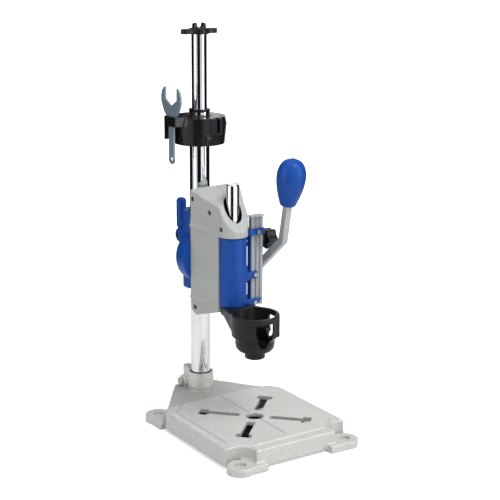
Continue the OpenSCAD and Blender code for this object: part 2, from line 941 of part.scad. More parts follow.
module cam_lever() {
    color(blue_plastic)
        difference() {
            union() {
                cross_bar(-cam_half_w, cam_half_w, cam_y - cam_throw, cam_z, 2 * cam_r);
                side_extrude(2 * cam_half_w)
                    polygon([
                        [cam_y - 4, cam_z + 4], [cam_y + 5, cam_z - 4], [handle_y + 4, handle_z],
                        [handle_y + 4, handle_z + 14], [handle_y - 4, handle_z + 14]
                    ]);
                translate([0, handle_y, handle_z])
                    cylinder(d = cam_handle_d, h = cam_handle_len - 3);
                translate([0, handle_y, handle_z + cam_handle_len - 3])
                    cylinder(d1 = cam_handle_d, d2 = cam_handle_d - 4, h = 3);
            }
            cross_bar(-cam_half_w - cut, cam_half_w + cut, cam_y, cam_z, cam_pin_d + 2 * run_gap);
        }
}

module pivot_bolt() {
    head_y = carriage_back_y - back_wall / 2;
    color(steel) {
        long_bar(head_y - pivot_head_t, head_y, 0, tilt_z, 2 * pivot_head_r);
        long_bar(head_y - weld, clamp_front_y, 0, tilt_z, pivot_d);
        long_bar(clamp_front_y - weld, column_back - liner_r - 0.5, 0, tilt_z, pivot_d - 2);
    }
}

// Carriage

// Heights of the roof and of the steep brow over the head
function roof_z(y) = carriage_top + roof_fall * (carriage_back_y - y);
function brow_z(y) = brow_top_z + brow_slope * (y - brow_y);

module carriage_side() {
    ridge_y = (carriage_top + roof_fall * carriage_back_y - brow_top_z + brow_slope * brow_y)
        / (brow_slope + roof_fall);
    head_front_y = rod_y - front_half_w - cut;
    corner_rise = bottom_rise * back_corner / (carriage_back_y - carriage_front_y);
    polygon([
        [carriage_back_y, carriage_bottom + back_corner], [carriage_back_y, carriage_top],
        [ridge_y, roof_z(ridge_y)], [head_front_y, brow_z(head_front_y)], [head_front_y, head_z],
        [carriage_front_y, head_z], [carriage_front_y, carriage_bottom + bottom_rise],
        [carriage_back_y - back_corner, carriage_bottom + corner_rise]
    ]);
}

module carriage_plan() {
    neck_y = rod_y - cut;
    polygon([
        [-back_half_w, carriage_back_y], [back_half_w, carriage_back_y],
        [half_w(neck_y), neck_y], [-half_w(neck_y), neck_y]
    ]);
    translate([0, rod_y]) circle(r = front_half_w);
}

// The slanted facet on the left of the roof
module left_facet() {
    translate([-back_half_w, carriage_back_y, carriage_top - cut])
        rotate(a = acos(1 / norm([facet_x, facet_y, 1])), v = [facet_y, -facet_x, 0])
            translate([-overcut / 2, -overcut / 2, 0]) cube([overcut, overcut, overcut / 2]);
}

// Half-round rib along the side, which follows its taper
module side_rib(side, z) {
    taper = atan((back_half_w - front_half_w) / (carriage_back_y - carriage_front_y));
    translate([side * (half_w(rib_front_y) - rib_sink), rib_front_y, z])
        rotate([0, 0, -side * taper])
            rotate([-90, 0, 0]) cylinder(r = rib_r, h = carriage_back_y - rib_front_y - cut);
}

module carriage_blank() {
    difference() {
        intersection() {
            side_extrude(4 * back_half_w) carriage_side();
            linear_extrude(overcut) carriage_plan();
        }
        left_facet();
    }
    for (side = [-1, 1], z = [rib_low_z, rib_high_z]) side_rib(side, z);
}

// Room for the sector gear, the spring and the lock stud
module carriage_cavity() {
    front_y = rack_pitch_y + gear_module + 2;
    floor_z = shaft_z - tip_r - 3;
    difference() {
        intersection() {
            side_extrude(4 * back_half_w)
                polygon([
                    [cavity_back_y, floor_z], [cavity_back_y, cavity_top], [front_y, cavity_top],
                    [front_y, floor_z + 9], [shaft_y - 16, floor_z + 5.5], [shaft_y - 6, floor_z]
                ]);
            linear_extrude(overcut)
                polygon([
                    [-half_w(cavity_back_y) + shell_wall, cavity_back_y + cut],
                    [half_w(cavity_back_y) - shell_wall, cavity_back_y + cut],
                    [half_w(front_y) - shell_wall, front_y - cut],
                    [-half_w(front_y) + shell_wall, front_y - cut]
                ]);
        }
        cross_bar(-2 * back_half_w, bush_left_end, shaft_y, shaft_z, 2 * boss_r);
        cross_bar(bush_right, 2 * back_half_w, shaft_y, shaft_z, 2 * boss_r);
        cross_bar(-2 * back_half_w, -nut_x, lock_y, lock_z, 2 * nut_r + 5);
        cross_bar(nut_x, 2 * back_half_w, lock_y, lock_z, 2 * lock_hub_r);
    }
    // Channel of the slide's rib and rack
    box([-rib_half_w - slide_gap, carriage_front_y - cut, carriage_bottom - cut],
        [rib_half_w + slide_gap, front_y + cut, head_z]);
}

module carriage_holes() {
    translate([0, rod_y, head_z - cut]) cylinder(r = bush_r, h = overcut);
    cross_bar(bush_left, 2 * back_half_w, shaft_y, shaft_z, 2 * shaft_bush_r);
    long_bar(cavity_back_y - cut, carriage_back_y + cut, 0, tilt_z, pivot_d + 2 * run_gap);
    long_bar(cavity_back_y - cut, carriage_back_y - back_wall / 2, 0, tilt_z, 2 * pivot_head_r + 1);
    cross_bar(-nut_x - nut_t, 2 * back_half_w, lock_y, lock_z, lock_d + 2 * run_gap);
    translate([-nut_x - nut_t, lock_y, lock_z])
        rotate([0, 90, 0]) cylinder(r = nut_r, h = nut_t + cut, $fn = 6);
    for (s = side_screws) {
        cross_bar(-2 * back_half_w, s[2], s[0], s[1], screw_d);
        cross_bar(-2 * back_half_w, -half_w(s[0]) + screw_sink, s[0], s[1], screw_head_d);
    }
}

module carriage_half(side) {
    intersection() {
        difference() {
            carriage_blank();
            carriage_cavity();
            carriage_holes();
        }
        box([side < 0 ? -overcut : 0, -overcut, 0], [side < 0 ? 0 : overcut, overcut, overcut]);
    }
}

module carriage_left() {
    color(shell_grey) carriage_half(-1);
}

module carriage_right() {
    lug_y = rail_front_y + rail_t + 4;
    color(shell_grey) {
        carriage_half(1);
        // Lug that the depth stop meets at the end of the stroke
        box([half_w(lug_y) - 3, lug_y, stop_lug_z[0]], [stop_lug_x, lug_y + 6, stop_lug_z[1]]);
    }
}

module carriage_screws() {
    color(steel)
        for (s = side_screws) {
            seat_x = -half_w(s[0]) + screw_sink;
            cross_bar(seat_x - 2.5, seat_x, s[0], s[1], screw_head_d - 0.2);
            cross_bar(seat_x - cut, s[2], s[0], s[1], screw_d);
        }
}

module rod_bush() {
    color(black_plastic)
        translate([0, rod_y, 0])
            tube(2 * bush_r, rod_d + 2 * run_gap, head_z, head_z + bush_h);
}

module shaft_bushes() {
    color(bronze)
        for (ends = [[bush_left, bush_left_end], [bush_right, half_w(shaft_y)]])
            difference() {
                cross_bar(ends[0], ends[1], shaft_y, shaft_z, 2 * shaft_bush_r);
                cross_bar(ends[0] + (ends[0] < 0 ? 1 : -cut), ends[1] + cut, shaft_y, shaft_z,
                    shaft_d + 2 * run_gap);
            }
}

// Points of the spring's wire, ring by ring
spring_x0 = bush_left_end + spring_wire / 2 + face_gap;
spring_n = spring_turns * spring_rings;
function spring_mid(i) = [
    spring_x0 + i * spring_pitch / spring_rings,
    shaft_y + spring_r * cos(i * 360 / spring_rings),
    shaft_z + spring_r * sin(i * 360 / spring_rings)
];
function spring_ring(i, k) = let (
    a = i * 360 / spring_rings,
    b = k * 360 / spring_sides,
    out = [0, cos(a), sin(a)],
    along = [1, 0, 0]
) spring_mid(i) + spring_wire / 2 * (cos(b) * out + sin(b) * along);
echo(least_spring_gap = spring_pitch - spring_wire);

module return_spring() {
    points = [for (i = [0:spring_n], k = [0:spring_sides - 1]) spring_ring(i, k)];
    sides = [
        for (i = [0:spring_n - 1], k = [0:spring_sides - 1])
            let (
                a = i * spring_sides + k,
                b = i * spring_sides + (k + 1) % spring_sides,
                c = a + spring_sides,
                d = b + spring_sides
            )
            each [[a, c, b], [b, c, d]]
    ];
    first = [for (k = [1:spring_sides - 2]) [0, k, k + 1]];
    last = [for (k = [1:spring_sides - 2]) spring_n * spring_sides * [1, 1, 1] + [0, k + 1, k]];
    color(steel) polyhedron(points, concat(sides, first, last));
}

module lock_nut() {
    color(steel)
        difference() {
            translate([-nut_x - nut_t, lock_y, lock_z])
                rotate([0, 90, 0]) cylinder(r = nut_r - run_gap, h = nut_t, $fn = 6);
            cross_bar(-nut_x - nut_t - cut, -nut_x + cut, lock_y, lock_z, lock_d + 2 * run_gap);
        }
}

// Slide

// Half width of the cup's arm at a distance behind the origin
function cup_arm_x(y) = cup_arm_half_w + (cup_r - cup_arm_inset - cup_arm_half_w)
    * (carriage_front_y - y) / (carriage_front_y - cup_arm_wide_y);

// Root of an arm beside the rail, with the arm's own outline in front of it
module slide_arm(heights) {
    box([arm_root_x, arm_y, heights[0]], [rail_x - strip_t, rail_front_y + rail_t, heights[1]]);
    front_extrude(arm_y, rail_front_y) children();
}

module upper_arm() {
    slide_arm(arm_high_z)
        polygon([
            [arm_root_x, arm_high_z[0] - arm_high_gusset], [slide_r, arm_high_z[0] - arm_high_gusset],
            [rail_x, arm_high_z[0]], [arm_high_end, arm_high_z[0]], [arm_high_end, arm_high_z[1]],
            [arm_root_x, arm_high_z[1]]
        ]);
}

module lower_arm() {
    step_x = cup_arm_x(arm_y) + cup_arm_clear;
    slide_arm([slide_bottom, arm_low_z[1]])
        polygon([
            [arm_root_x, slide_bottom], [step_x, slide_bottom], [step_x, arm_low_z[0]],
            [arm_low_end - arm_low_corner[0], arm_low_z[0]],
            [arm_low_end, arm_low_z[0] + arm_low_corner[1]], [arm_low_end, arm_low_z[1]],
            [arm_root_x, arm_low_z[1]]
        ]);
}

module slide_body() {
    color(blue_plastic)
        difference() {
            union() {
                intersection() {
                    translate([0, rod_y, slide_bottom]) cylinder(r = slide_r, h = slide_top - slide_bottom);
                    box([-slide_r - cut, rod_y - slide_r - cut, slide_bottom],
                        [slide_r + cut, carriage_front_y - slide_gap, slide_top]);
                }
                box([-rib_half_w, rod_y, slide_bottom + 2], [rib_half_w, rib_back_y, slide_top]);
                lower_arm();
                upper_arm();
                box([rail_x - strip_t, rail_front_y, arm_low_z[0]],
                    [rail_x, rail_front_y + rail_t, stop_bottom - 1]);
            }
            cross_bar(rail_pin_x[0], rail_pin_x[1], rod_y - 1, rail_pin_z, rail_pin_d);
            translate([0, rod_y, slide_bottom - cut]) {
                cylinder(d = rod_d, h = slide_top - slide_bottom + 2 * cut);
                // Flute down the front of the slide
                rotate(-flute_turn) translate([0, -slide_r - flute_r + flute_depth, 0])
                    cylinder(r = flute_r, h = slide_top - slide_bottom + 2 * cut);
            }
            translate([0, cup_screw_y, slide_bottom - cut]) cylinder(d = cup_screw_d, h = cut + 14);
            for (z = [arm_low_z, arm_high_z])
                long_bar(arm_y - cut, rail_front_y + cut, arm_screw_x, (z[0] + z[1]) / 2, arm_screw_d);
        }
}

module guide_rod() {
    color(chrome)
        translate([0, rod_y, 0]) {
            translate([0, 0, slide_bottom - rod_seat])
                cylinder(d = rod_d, h = rod_top - 1 - slide_bottom + rod_seat);
            translate([0, 0, rod_top - 1]) cylinder(d1 = rod_d, d2 = rod_d - 2, h = 1);
        }
}

module drive_rack() {
    first = ceil((rack_low - shaft_z) / rack_pitch + 0.5);
    last = floor((rack_high - shaft_z) / rack_pitch - 0.5);
    root_y = rack_pitch_y - 1.25 * gear_module;
    tip_y = rack_pitch_y + gear_module;
    half_pitch = rack_pitch / 4 - backlash / 4;
    half_tip = half_pitch - gear_module * tan(pressure_angle);
    half_root = half_pitch + 1.25 * gear_module * tan(pressure_angle);
    color(steel)
        side_extrude(gear_w)
            polygon(concat(
                [[rib_back_y, rack_low], [root_y, rack_low]],
                [
                    for (i = [first:last])
                        let (z = shaft_z + i * rack_pitch)
                        each [
                            [root_y, z - half_root], [tip_y, z - half_tip],
                            [tip_y, z + half_tip], [root_y, z + half_root]
                        ]
                ],
                [[root_y, rack_high], [rib_back_y, rack_high]]
            ));
}

module rack_screws() {
    color(steel)
        for (z = [rack_low + 1.6, rack_high - 1.6], side = [-1, 1])
            long_bar(rib_back_y, rib_back_y + 2.4, side * (gear_w / 2 + 2.5), z, 4);
}

// Pointed window as [sideways, height above the nose]
function cup_window() = [
    [-window_half_w, window_top], [-window_half_w, window_point + 21.5],
    [-0.74 * window_half_w, window_point + 10.5], [-0.3 * window_half_w, window_point + 2],
    [0, window_point], [0.3 * window_half_w, window_point + 2],
    [0.74 * window_half_w, window_point + 10.5], [window_half_w, window_point + 21.5],
    [window_half_w, window_top]
];

module cup_blank() {
    translate([0, drill_y, nose_bottom])
        rotate_extrude()
            polygon([
                [0, 0], [nose_r - 1, 0], [nose_r, 1], [nose_r, nose_h], [cup_waist_r - 4, nose_h + 1.5],
                [cup_waist_r - 1, nose_h + 5], [cup_waist_r, nose_h + 10], [cup_waist_r, cup_step - 5],
                [cup_r, cup_step], [cup_r + rim_flare, rim_h], [0, rim_h]
            ]);
    // Arm from the cup to the underside of the slide
    intersection() {
        side_extrude(4 * cup_r)
            polygon([
                [drill_y, slide_bottom], [carriage_front_y - slide_gap, slide_bottom],
                [carriage_front_y - slide_gap, slide_bottom - arm_rear_h],
                [rod_y - rod_d / 2, slide_bottom - arm_rear_h], [drill_y, slide_bottom - arm_front_h]
            ]);
        linear_extrude(overcut)
            polygon([
                [-cup_arm_half_w, carriage_front_y], [cup_arm_half_w, carriage_front_y],
                [cup_r - cup_arm_inset, cup_arm_wide_y], [-cup_r + cup_arm_inset, cup_arm_wide_y]
            ]);
    }
    // Post with a round top between the two windows
    translate([0, drill_y, 0])
        rotate(post_turn)
            translate([cup_r + rim_flare - post_r + post_out, 0, nose_bottom + rim_h + 1]) {
                translate([0, 0, -post_h]) cylinder(r = post_r, h = post_h);
                cylinder(r1 = post_r, r2 = post_r - 2, h = 1.8);
            }
}

module tool_cup() {
    color(black_plastic)
        difference() {
            cup_blank();
            translate([0, drill_y, nose_bottom]) {
                translate([0, 0, cup_step + cup_wall]) cylinder(r = cup_r - cup_wall, h = overcut);
                translate([0, 0, cup_floor]) cylinder(r = cup_waist_r - cup_wall, h = overcut);
                translate([0, 0, -cut]) cylinder(r = tool_bore_r, h = overcut);
                for (turn = [-window_turn, window_turn])
                    rotate([0, 0, post_turn + turn])
                        translate([nose_r, 0, 0])
                            rotate([90, 0, 90])
                                linear_extrude(2 * cup_r) polygon(cup_window());
            }
            translate([0, rod_y, slide_bottom - rod_seat]) cylinder(d = rod_d, h = overcut);
            translate([0, cup_screw_y, 0]) {
                cylinder(d = cup_screw_d, h = overcut);
                cylinder(d = 2 * cup_screw_d, h = slide_bottom - arm_rear_h + 2);
            }
        }
}

module cup_screw() {
    color(steel)
        translate([0, cup_screw_y, slide_bottom - arm_rear_h + 2]) {
            cylinder(d = cup_screw_d, h = arm_rear_h + 12);
            translate([0, 0, -3]) cylinder(d = 1.8 * cup_screw_d, h = 3);
        }
}

module gauge_rail() {
    color(light_grey)
        difference() {
            box([rail_x, rail_front_y, rail_bottom], [rail_x + rail_w, rail_front_y + rail_t, rail_top]);
            for (i = [1, 2])
                box([rail_x + i * rail_w / 3 - rail_groove, rail_front_y - cut, rail_bottom - cut],
                    [rail_x + i * rail_w / 3 + rail_groove, rail_front_y + rail_groove, rail_top + cut]);
            for (z = [arm_low_z, arm_high_z])
                long_bar(rail_front_y - cut, rail_front_y + rail_t - 1, arm_screw_x, (z[0] + z[1]) / 2,
                    arm_screw_d);
        }
}

module rail_cap() {
    color(light_grey) {
        box([rail_x - cap_lip, rail_front_y - cap_lip, rail_top],
            [rail_x + rail_w + cap_lip, rail_front_y + rail_t + cap_lip, rail_top + rail_cap_h]);
        box([rail_x - cap_hook, rail_front_y + 2, rail_top],
            [rail_x - cap_lip + weld, rail_front_y + rail_t - 2, rail_top + rail_cap_h]);
    }
}

module rail_screws() {
    color(steel)
        for (z = [arm_low_z, arm_high_z]) {
            long_bar(arm_y - 1, rail_front_y + rail_t - 1.5, arm_screw_x, (z[0] + z[1]) / 2, arm_screw_d);
            long_bar(arm_y - 1.4, arm_y, arm_screw_x, (z[0] + z[1]) / 2, 5);
        }
}

module rail_pin() {
    color(steel) cross_bar(rail_pin_x[0], rail_pin_x[1], rod_y - 1, rail_pin_z, rail_pin_d);
}

module depth_stop() {
    in_x = rail_x - strip_t - slide_gap;
    out_x = rail_x + rail_w + slide_gap;
    front_y = rail_front_y - slide_gap;
    back_y = rail_front_y + rail_t + slide_gap;
    color(blue_plastic)
        difference() {
            union() {
                box([in_x - stop_wall, front_y - stop_wall, stop_bottom],
                    [out_x + stop_right_wall, back_y + stop_wall, stop_bottom + stop_h]);
                box([out_x - 6, back_y, stop_bottom],
                    [out_x, back_y + stop_wall + stop_tongue, stop_bottom + stop_h]);
            }
            box([in_x, front_y, stop_bottom - cut], [out_x, back_y, stop_bottom + stop_h + cut]);
            long_bar(front_y - stop_wall - cut, front_y + cut, rail_x + rail_w / 2,
                stop_bottom + stop_h / 2, stop_screw_d);
        }
}

module stop_screw() {
    front_y = rail_front_y - slide_gap - stop_wall;
    color(light_grey) {
        long_bar(front_y - 2.5, front_y, rail_x + rail_w / 2, stop_bottom + stop_h / 2, 2 * stop_screw_d);
        long_bar(front_y - weld, rail_front_y - 0.2, rail_x + rail_w / 2, stop_bottom + stop_h / 2,
            stop_screw_d);
    }
}

// Feed lever

module pinion_shaft() {
    color(steel) cross_bar(shaft_left, lever_out, shaft_y, shaft_z, shaft_d);
}

// Half the angle of a tooth at a radius, in degrees
function roll(r) = sqrt(pow(max(r, base_r) / base_r, 2) - 1);
function involute(r) = roll(r) * 180 / PI - atan(roll(r));
function tooth_half(r) = 90 / gear_teeth - backlash / 4 / pitch_r * 180 / PI
    + involute(pitch_r) - involute(r);
function polar(r, a) = [shaft_y + r * cos(a), shaft_z + r * sin(a)];

module sector_gear() {
    step = 360 / gear_teeth;
    first = ceil((gear_first - 180) / step - 0.5);
    last = floor((gear_last - 180) / step - 0.5);
    radii = [for (k = [0:flank_steps]) root_r + (tip_r - root_r) * k / flank_steps];
    color(steel)
        difference() {
            union() {
                side_extrude(gear_w)
                    polygon(concat(
                        [polar(0, 0), polar(root_r, 180 + (first + 0.5) * step - step / 2)],
                        [
                            for (i = [first:last])
                                let (a = 180 + (i + 0.5) * step)
                                each concat(
                                    [for (r = radii) polar(r, a - tooth_half(r))],
                                    [for (k = [flank_steps:-1:0]) polar(radii[k], a + tooth_half(radii[k]))]
                                )
                        ],
                        [polar(root_r, 180 + (last + 0.5) * step + step / 2)]
                    ));
                cross_bar(-gear_w / 2, gear_w / 2, shaft_y, shaft_z, 2 * gear_hub_r);
            }
            cross_bar(-gear_w, gear_w, shaft_y, shaft_z, shaft_d);
        }
}

module lever_spacer() {
    color(steel)
        difference() {
            cross_bar(half_w(shaft_y + spacer_r) + face_gap, lever_in, shaft_y, shaft_z, 2 * spacer_r);
            cross_bar(0, lever_out, shaft_y, shaft_z, shaft_d);
        }
}

// Bent bar of the lever, seen from the side, with a mitred bend
function side_of(a, b) = [a[1] - b[1], b[0] - a[0]] / norm(b - a);

module lever_outline() {
    path = [[shaft_y, shaft_z], [bend_y, bend_z], stem_end];
    n1 = side_of(path[0], path[1]);
    n2 = side_of(path[1], path[2]);
    mitre = (n1 + n2) * arm_w / (1 + n1 * n2);
    polygon([
        path[0] + n1 * arm_w / 2, path[1] + mitre / 2, path[2] + n2 * arm_w / 2,
        path[2] - n2 * arm_w / 2, path[1] - mitre / 2, path[0] - n1 * arm_w / 2
    ]);
    translate(path[0]) circle(r = hub_r);
}

module feed_lever() {
    color(light_grey)
        difference() {
            union() {
                side_extrude(lever_t, lever_x) lever_outline();
                translate([lever_x, stem_end[0], stem_end[1]])
                    rotate([lever_stem_lean, 0, 0])
                        translate([0, 0, -stem_sink]) cylinder(r = stem_r, h = 2 * stem_sink);
            }
            cross_bar(lever_in - cut, lever_out + cut, shaft_y, shaft_z, shaft_d);
        }
}

function egg(s) = s < knob_belly
    ? knob_neck_r + (knob_r - knob_neck_r) * sin(90 * s / knob_belly)
    : knob_r * sqrt(max(0, 1 - pow((s - knob_belly) / (1 - knob_belly), 2)));

module lever_knob() {
    color(blue_plastic)
        translate([lever_x, bend_y, bend_z])
            rotate([lever_stem_lean, 0, 0])
                translate([0, 0, lever_stem_len])
                    difference() {
                        rotate_extrude()
                            polygon(concat(
                                [[0, 0]],
                                [for (i = [0:knob_steps]) [egg(i / knob_steps), knob_h * i / knob_steps]]
                            ));
                        translate([0, 0, -cut]) cylinder(r = stem_r, h = stem_sink + cut);
                    }
}

module lever_screw() {
    color(steel) cross_bar(lever_out, lever_out + 3, shaft_y, shaft_z, shaft_d + 6);
}

module lock_stud() {
    color(steel) cross_bar(-nut_x - nut_t + cut, lock_knob_in + lock_knob_t - 4, lock_y, lock_z, lock_d);
}

module lock_knob() {
    mid_r = lock_knob_r - lobe_h;
    color(black_plastic)
        difference() {
            union() {
                side_extrude(lock_knob_t, lock_knob_in + lock_knob_t / 2)
                    polygon([
                        for (i = [0:lobe_count * lobe_steps - 1])
                            let (a = i * 360 / (lobe_count * lobe_steps))
                            [lock_y, lock_z] + (mid_r + lobe_h * cos(lobe_count * a)) * [cos(a), sin(a)]
                    ]);
                cross_bar(half_w(lock_y + lock_hub_r) + face_gap, lock_knob_in + cut, lock_y, lock_z,
                    2 * lock_hub_r);
            }
            cross_bar(0, lock_knob_in + lock_knob_t - 4, lock_y, lock_z, lock_d);
        }
}

base_casting();
socket_screw();
socket_nut();
lower_tube();
tube_bush();
storage_drum();
drum_screw();
collet_wrench();
upper_tube();
tube_plug();
hook_cap();
column_liner();
clamp_front();
clamp_rear();
clamp_bolts();
clamp_pad();
cam_pin();
cam_lever();
pivot_bolt();
carriage_left();
carriage_right();
carriage_screws();
rod_bush();
shaft_bushes();
return_spring();
lock_nut();
slide_body();
guide_rod();
drive_rack();
rack_screws();
tool_cup();
cup_screw();
gauge_rail();
rail_cap();
rail_screws();
rail_pin();
depth_stop();
stop_screw();
pinion_shaft();
sector_gear();
lever_spacer();
feed_lever();
lever_knob();
lever_screw();
lock_stud();
lock_knob();
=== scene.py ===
"""Looks of a bench drill stand for a handheld rotary tool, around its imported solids.
Metres, +Z up, front at -Y."""

import json
import math

import bmesh
import bpy
from mathutils import Matrix, Vector


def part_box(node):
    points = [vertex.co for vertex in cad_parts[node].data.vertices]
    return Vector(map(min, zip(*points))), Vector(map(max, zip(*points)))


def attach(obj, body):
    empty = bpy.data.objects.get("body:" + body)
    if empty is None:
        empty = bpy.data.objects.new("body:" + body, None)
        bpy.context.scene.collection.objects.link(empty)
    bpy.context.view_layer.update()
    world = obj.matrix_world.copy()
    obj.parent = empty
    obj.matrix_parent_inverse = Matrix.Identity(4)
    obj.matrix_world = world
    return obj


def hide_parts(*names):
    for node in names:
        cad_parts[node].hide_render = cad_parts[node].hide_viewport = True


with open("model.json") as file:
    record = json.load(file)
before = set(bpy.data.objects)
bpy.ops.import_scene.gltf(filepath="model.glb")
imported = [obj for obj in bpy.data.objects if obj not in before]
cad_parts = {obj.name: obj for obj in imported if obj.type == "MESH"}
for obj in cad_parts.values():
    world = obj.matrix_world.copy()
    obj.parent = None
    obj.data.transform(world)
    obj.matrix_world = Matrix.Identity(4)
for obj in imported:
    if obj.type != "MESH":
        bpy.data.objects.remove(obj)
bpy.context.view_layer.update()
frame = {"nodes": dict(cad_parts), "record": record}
NODES = frame["nodes"]
RECORD = frame["record"]
BODY_OF = {n: body for body, names in RECORD["behaviour"]["bodies"].items() for n in names}
SLOT_OF = {s["node"]: s["material_slot"] for s in RECORD["subparts"]}
MM = 0.001

# Camera
CAMERA_PLACE = Vector((-0.8278, -1.2553, 0.6162))
CAMERA_YAW = math.radians(33.396)
CAMERA_PITCH = math.radians(14.283)
CAMERA_ROLL = math.radians(0.252)
CAMERA_LENS = 93.37
CAMERA_SENSOR = 36.0
CAMERA_REACH = 50.0

# Places from the frame
COLUMN_Y = (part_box("lower_tube")[0].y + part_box("lower_tube")[1].y) / 2
TUBE_R = (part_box("lower_tube")[1].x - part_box("lower_tube")[0].x) / 2
ROD_Y = (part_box("guide_rod")[0].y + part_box("guide_rod")[1].y) / 2
CARRIAGE_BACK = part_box("carriage_left")[1].y

# Heights on the base
FOOT_H = 9.5 * MM
BORDER_Z = 24.5 * MM
PLATE_Z = 26 * MM
SOCKET_TOP = 47 * MM
# Heights of the deck behind the plate, whose level faces get painted shade
DECK_SHADE_HEIGHTS = (21.5 * MM, 23.4 * MM)
PLATE_TOP = (25.5 * MM, 26.5 * MM)
BARE_SOCKET = (28 * MM, 48 * MM)
# Half height of the painted shade line round the foot of the lower tube
FOOT_SHADE_RING = 1.2 * MM


# Materials

# Directions that scratches and bands are drawn out in
ALONG_Z = (1.0, 1.0, 0.02)
ALONG_X = (0.02, 1.0, 1.0)

# Scales of the noise in each kind of finish
PLASTIC_CLOUDS = 38.0
PLASTIC_GLOSS = 120.0
CAST_CLOUDS = 22.0
CAST_SPECKS = 800.0
CAST_PEBBLES = 420.0
CAST_GLOSS = 160.0
METAL_LINES = 900.0
METAL_CLOUDS = 30.0
METAL_REFLECTION_BANDS = 130.0

# Stops of the ramps that turn noise into shades
WIDE_STOPS = (0.3, 0.7)
CLOSE_STOPS = (0.35, 0.65)
SPECK_STOPS = (0.32, 0.5, 0.68)
BAND_STOPS = (0.45, 0.65)

# Shades of the casting, as shares of its colour
CAST_MOTTLE = 0.05
SPECK_SHADES = (0.84, 1.0, 1.1)
# Lighter edges: partly wear, partly painted highlight
WORN_AND_LIT_EDGE_SHADE = 1.22
# Painted shade on the deck behind the plate
DECK_PAINTED_SHADE = 0.84
BARE_SHADES = (1.0, 1.45)

# Shades of drawn metal, as shares of its colour, and of its faint bands of painted reflection
METAL_SHADES = (0.95, 1.05)
BAND_REFLECTION_SHADE = 0.6
BAND_STRENGTH = 0.5

# How far the roughness drifts, as a difference or as a share of it
PLASTIC_DRIFT = (-0.05, 0.06)
CAST_DRIFT = (-0.07, 0.1)
METAL_DRIFT = (0.7, 1.3)

# Radius of the edges in the shading, and depth of the finest scratches
PLASTIC_EDGE = 0.5 * MM
CAST_EDGE = 0.9 * MM
METAL_EDGE = 0.25 * MM
SCRATCH_DEPTH = 0.02 * MM

# Z of the normal at which a face begins to count as level, and counts fully
LOOKING_UP = (0.6, 0.95)
# Pointiness at which an edge begins to get lighter, partly from wear and partly as painted highlight, and
# fully does so
EDGE_WEAR_AND_HIGHLIGHT = (0.53, 0.6)
EDGE_SAMPLES = 6

# Colour sockets of the mix node, which has sockets of the same names for its other types
MIX_FIRST = 6
MIX_SECOND = 7
MIX_RESULT = 2


def srgb(red, green, blue):
    """Linear colour of an 8-bit screen colour."""
    def linear(value):
        share = value / 255
        return share / 12.92 if share <= 0.04045 else ((share + 0.055) / 1.055) ** 2.4
    return linear(red), linear(green), linear(blue), 1.0


def grey(level):
    """Grey of a linear level."""
    return level, level, level, 1.0


def shade(colour, factor):
    """Colour made lighter or darker by a factor."""
    return tuple(min(1.0, c * factor) for c in colour[:3]) + (1.0,)


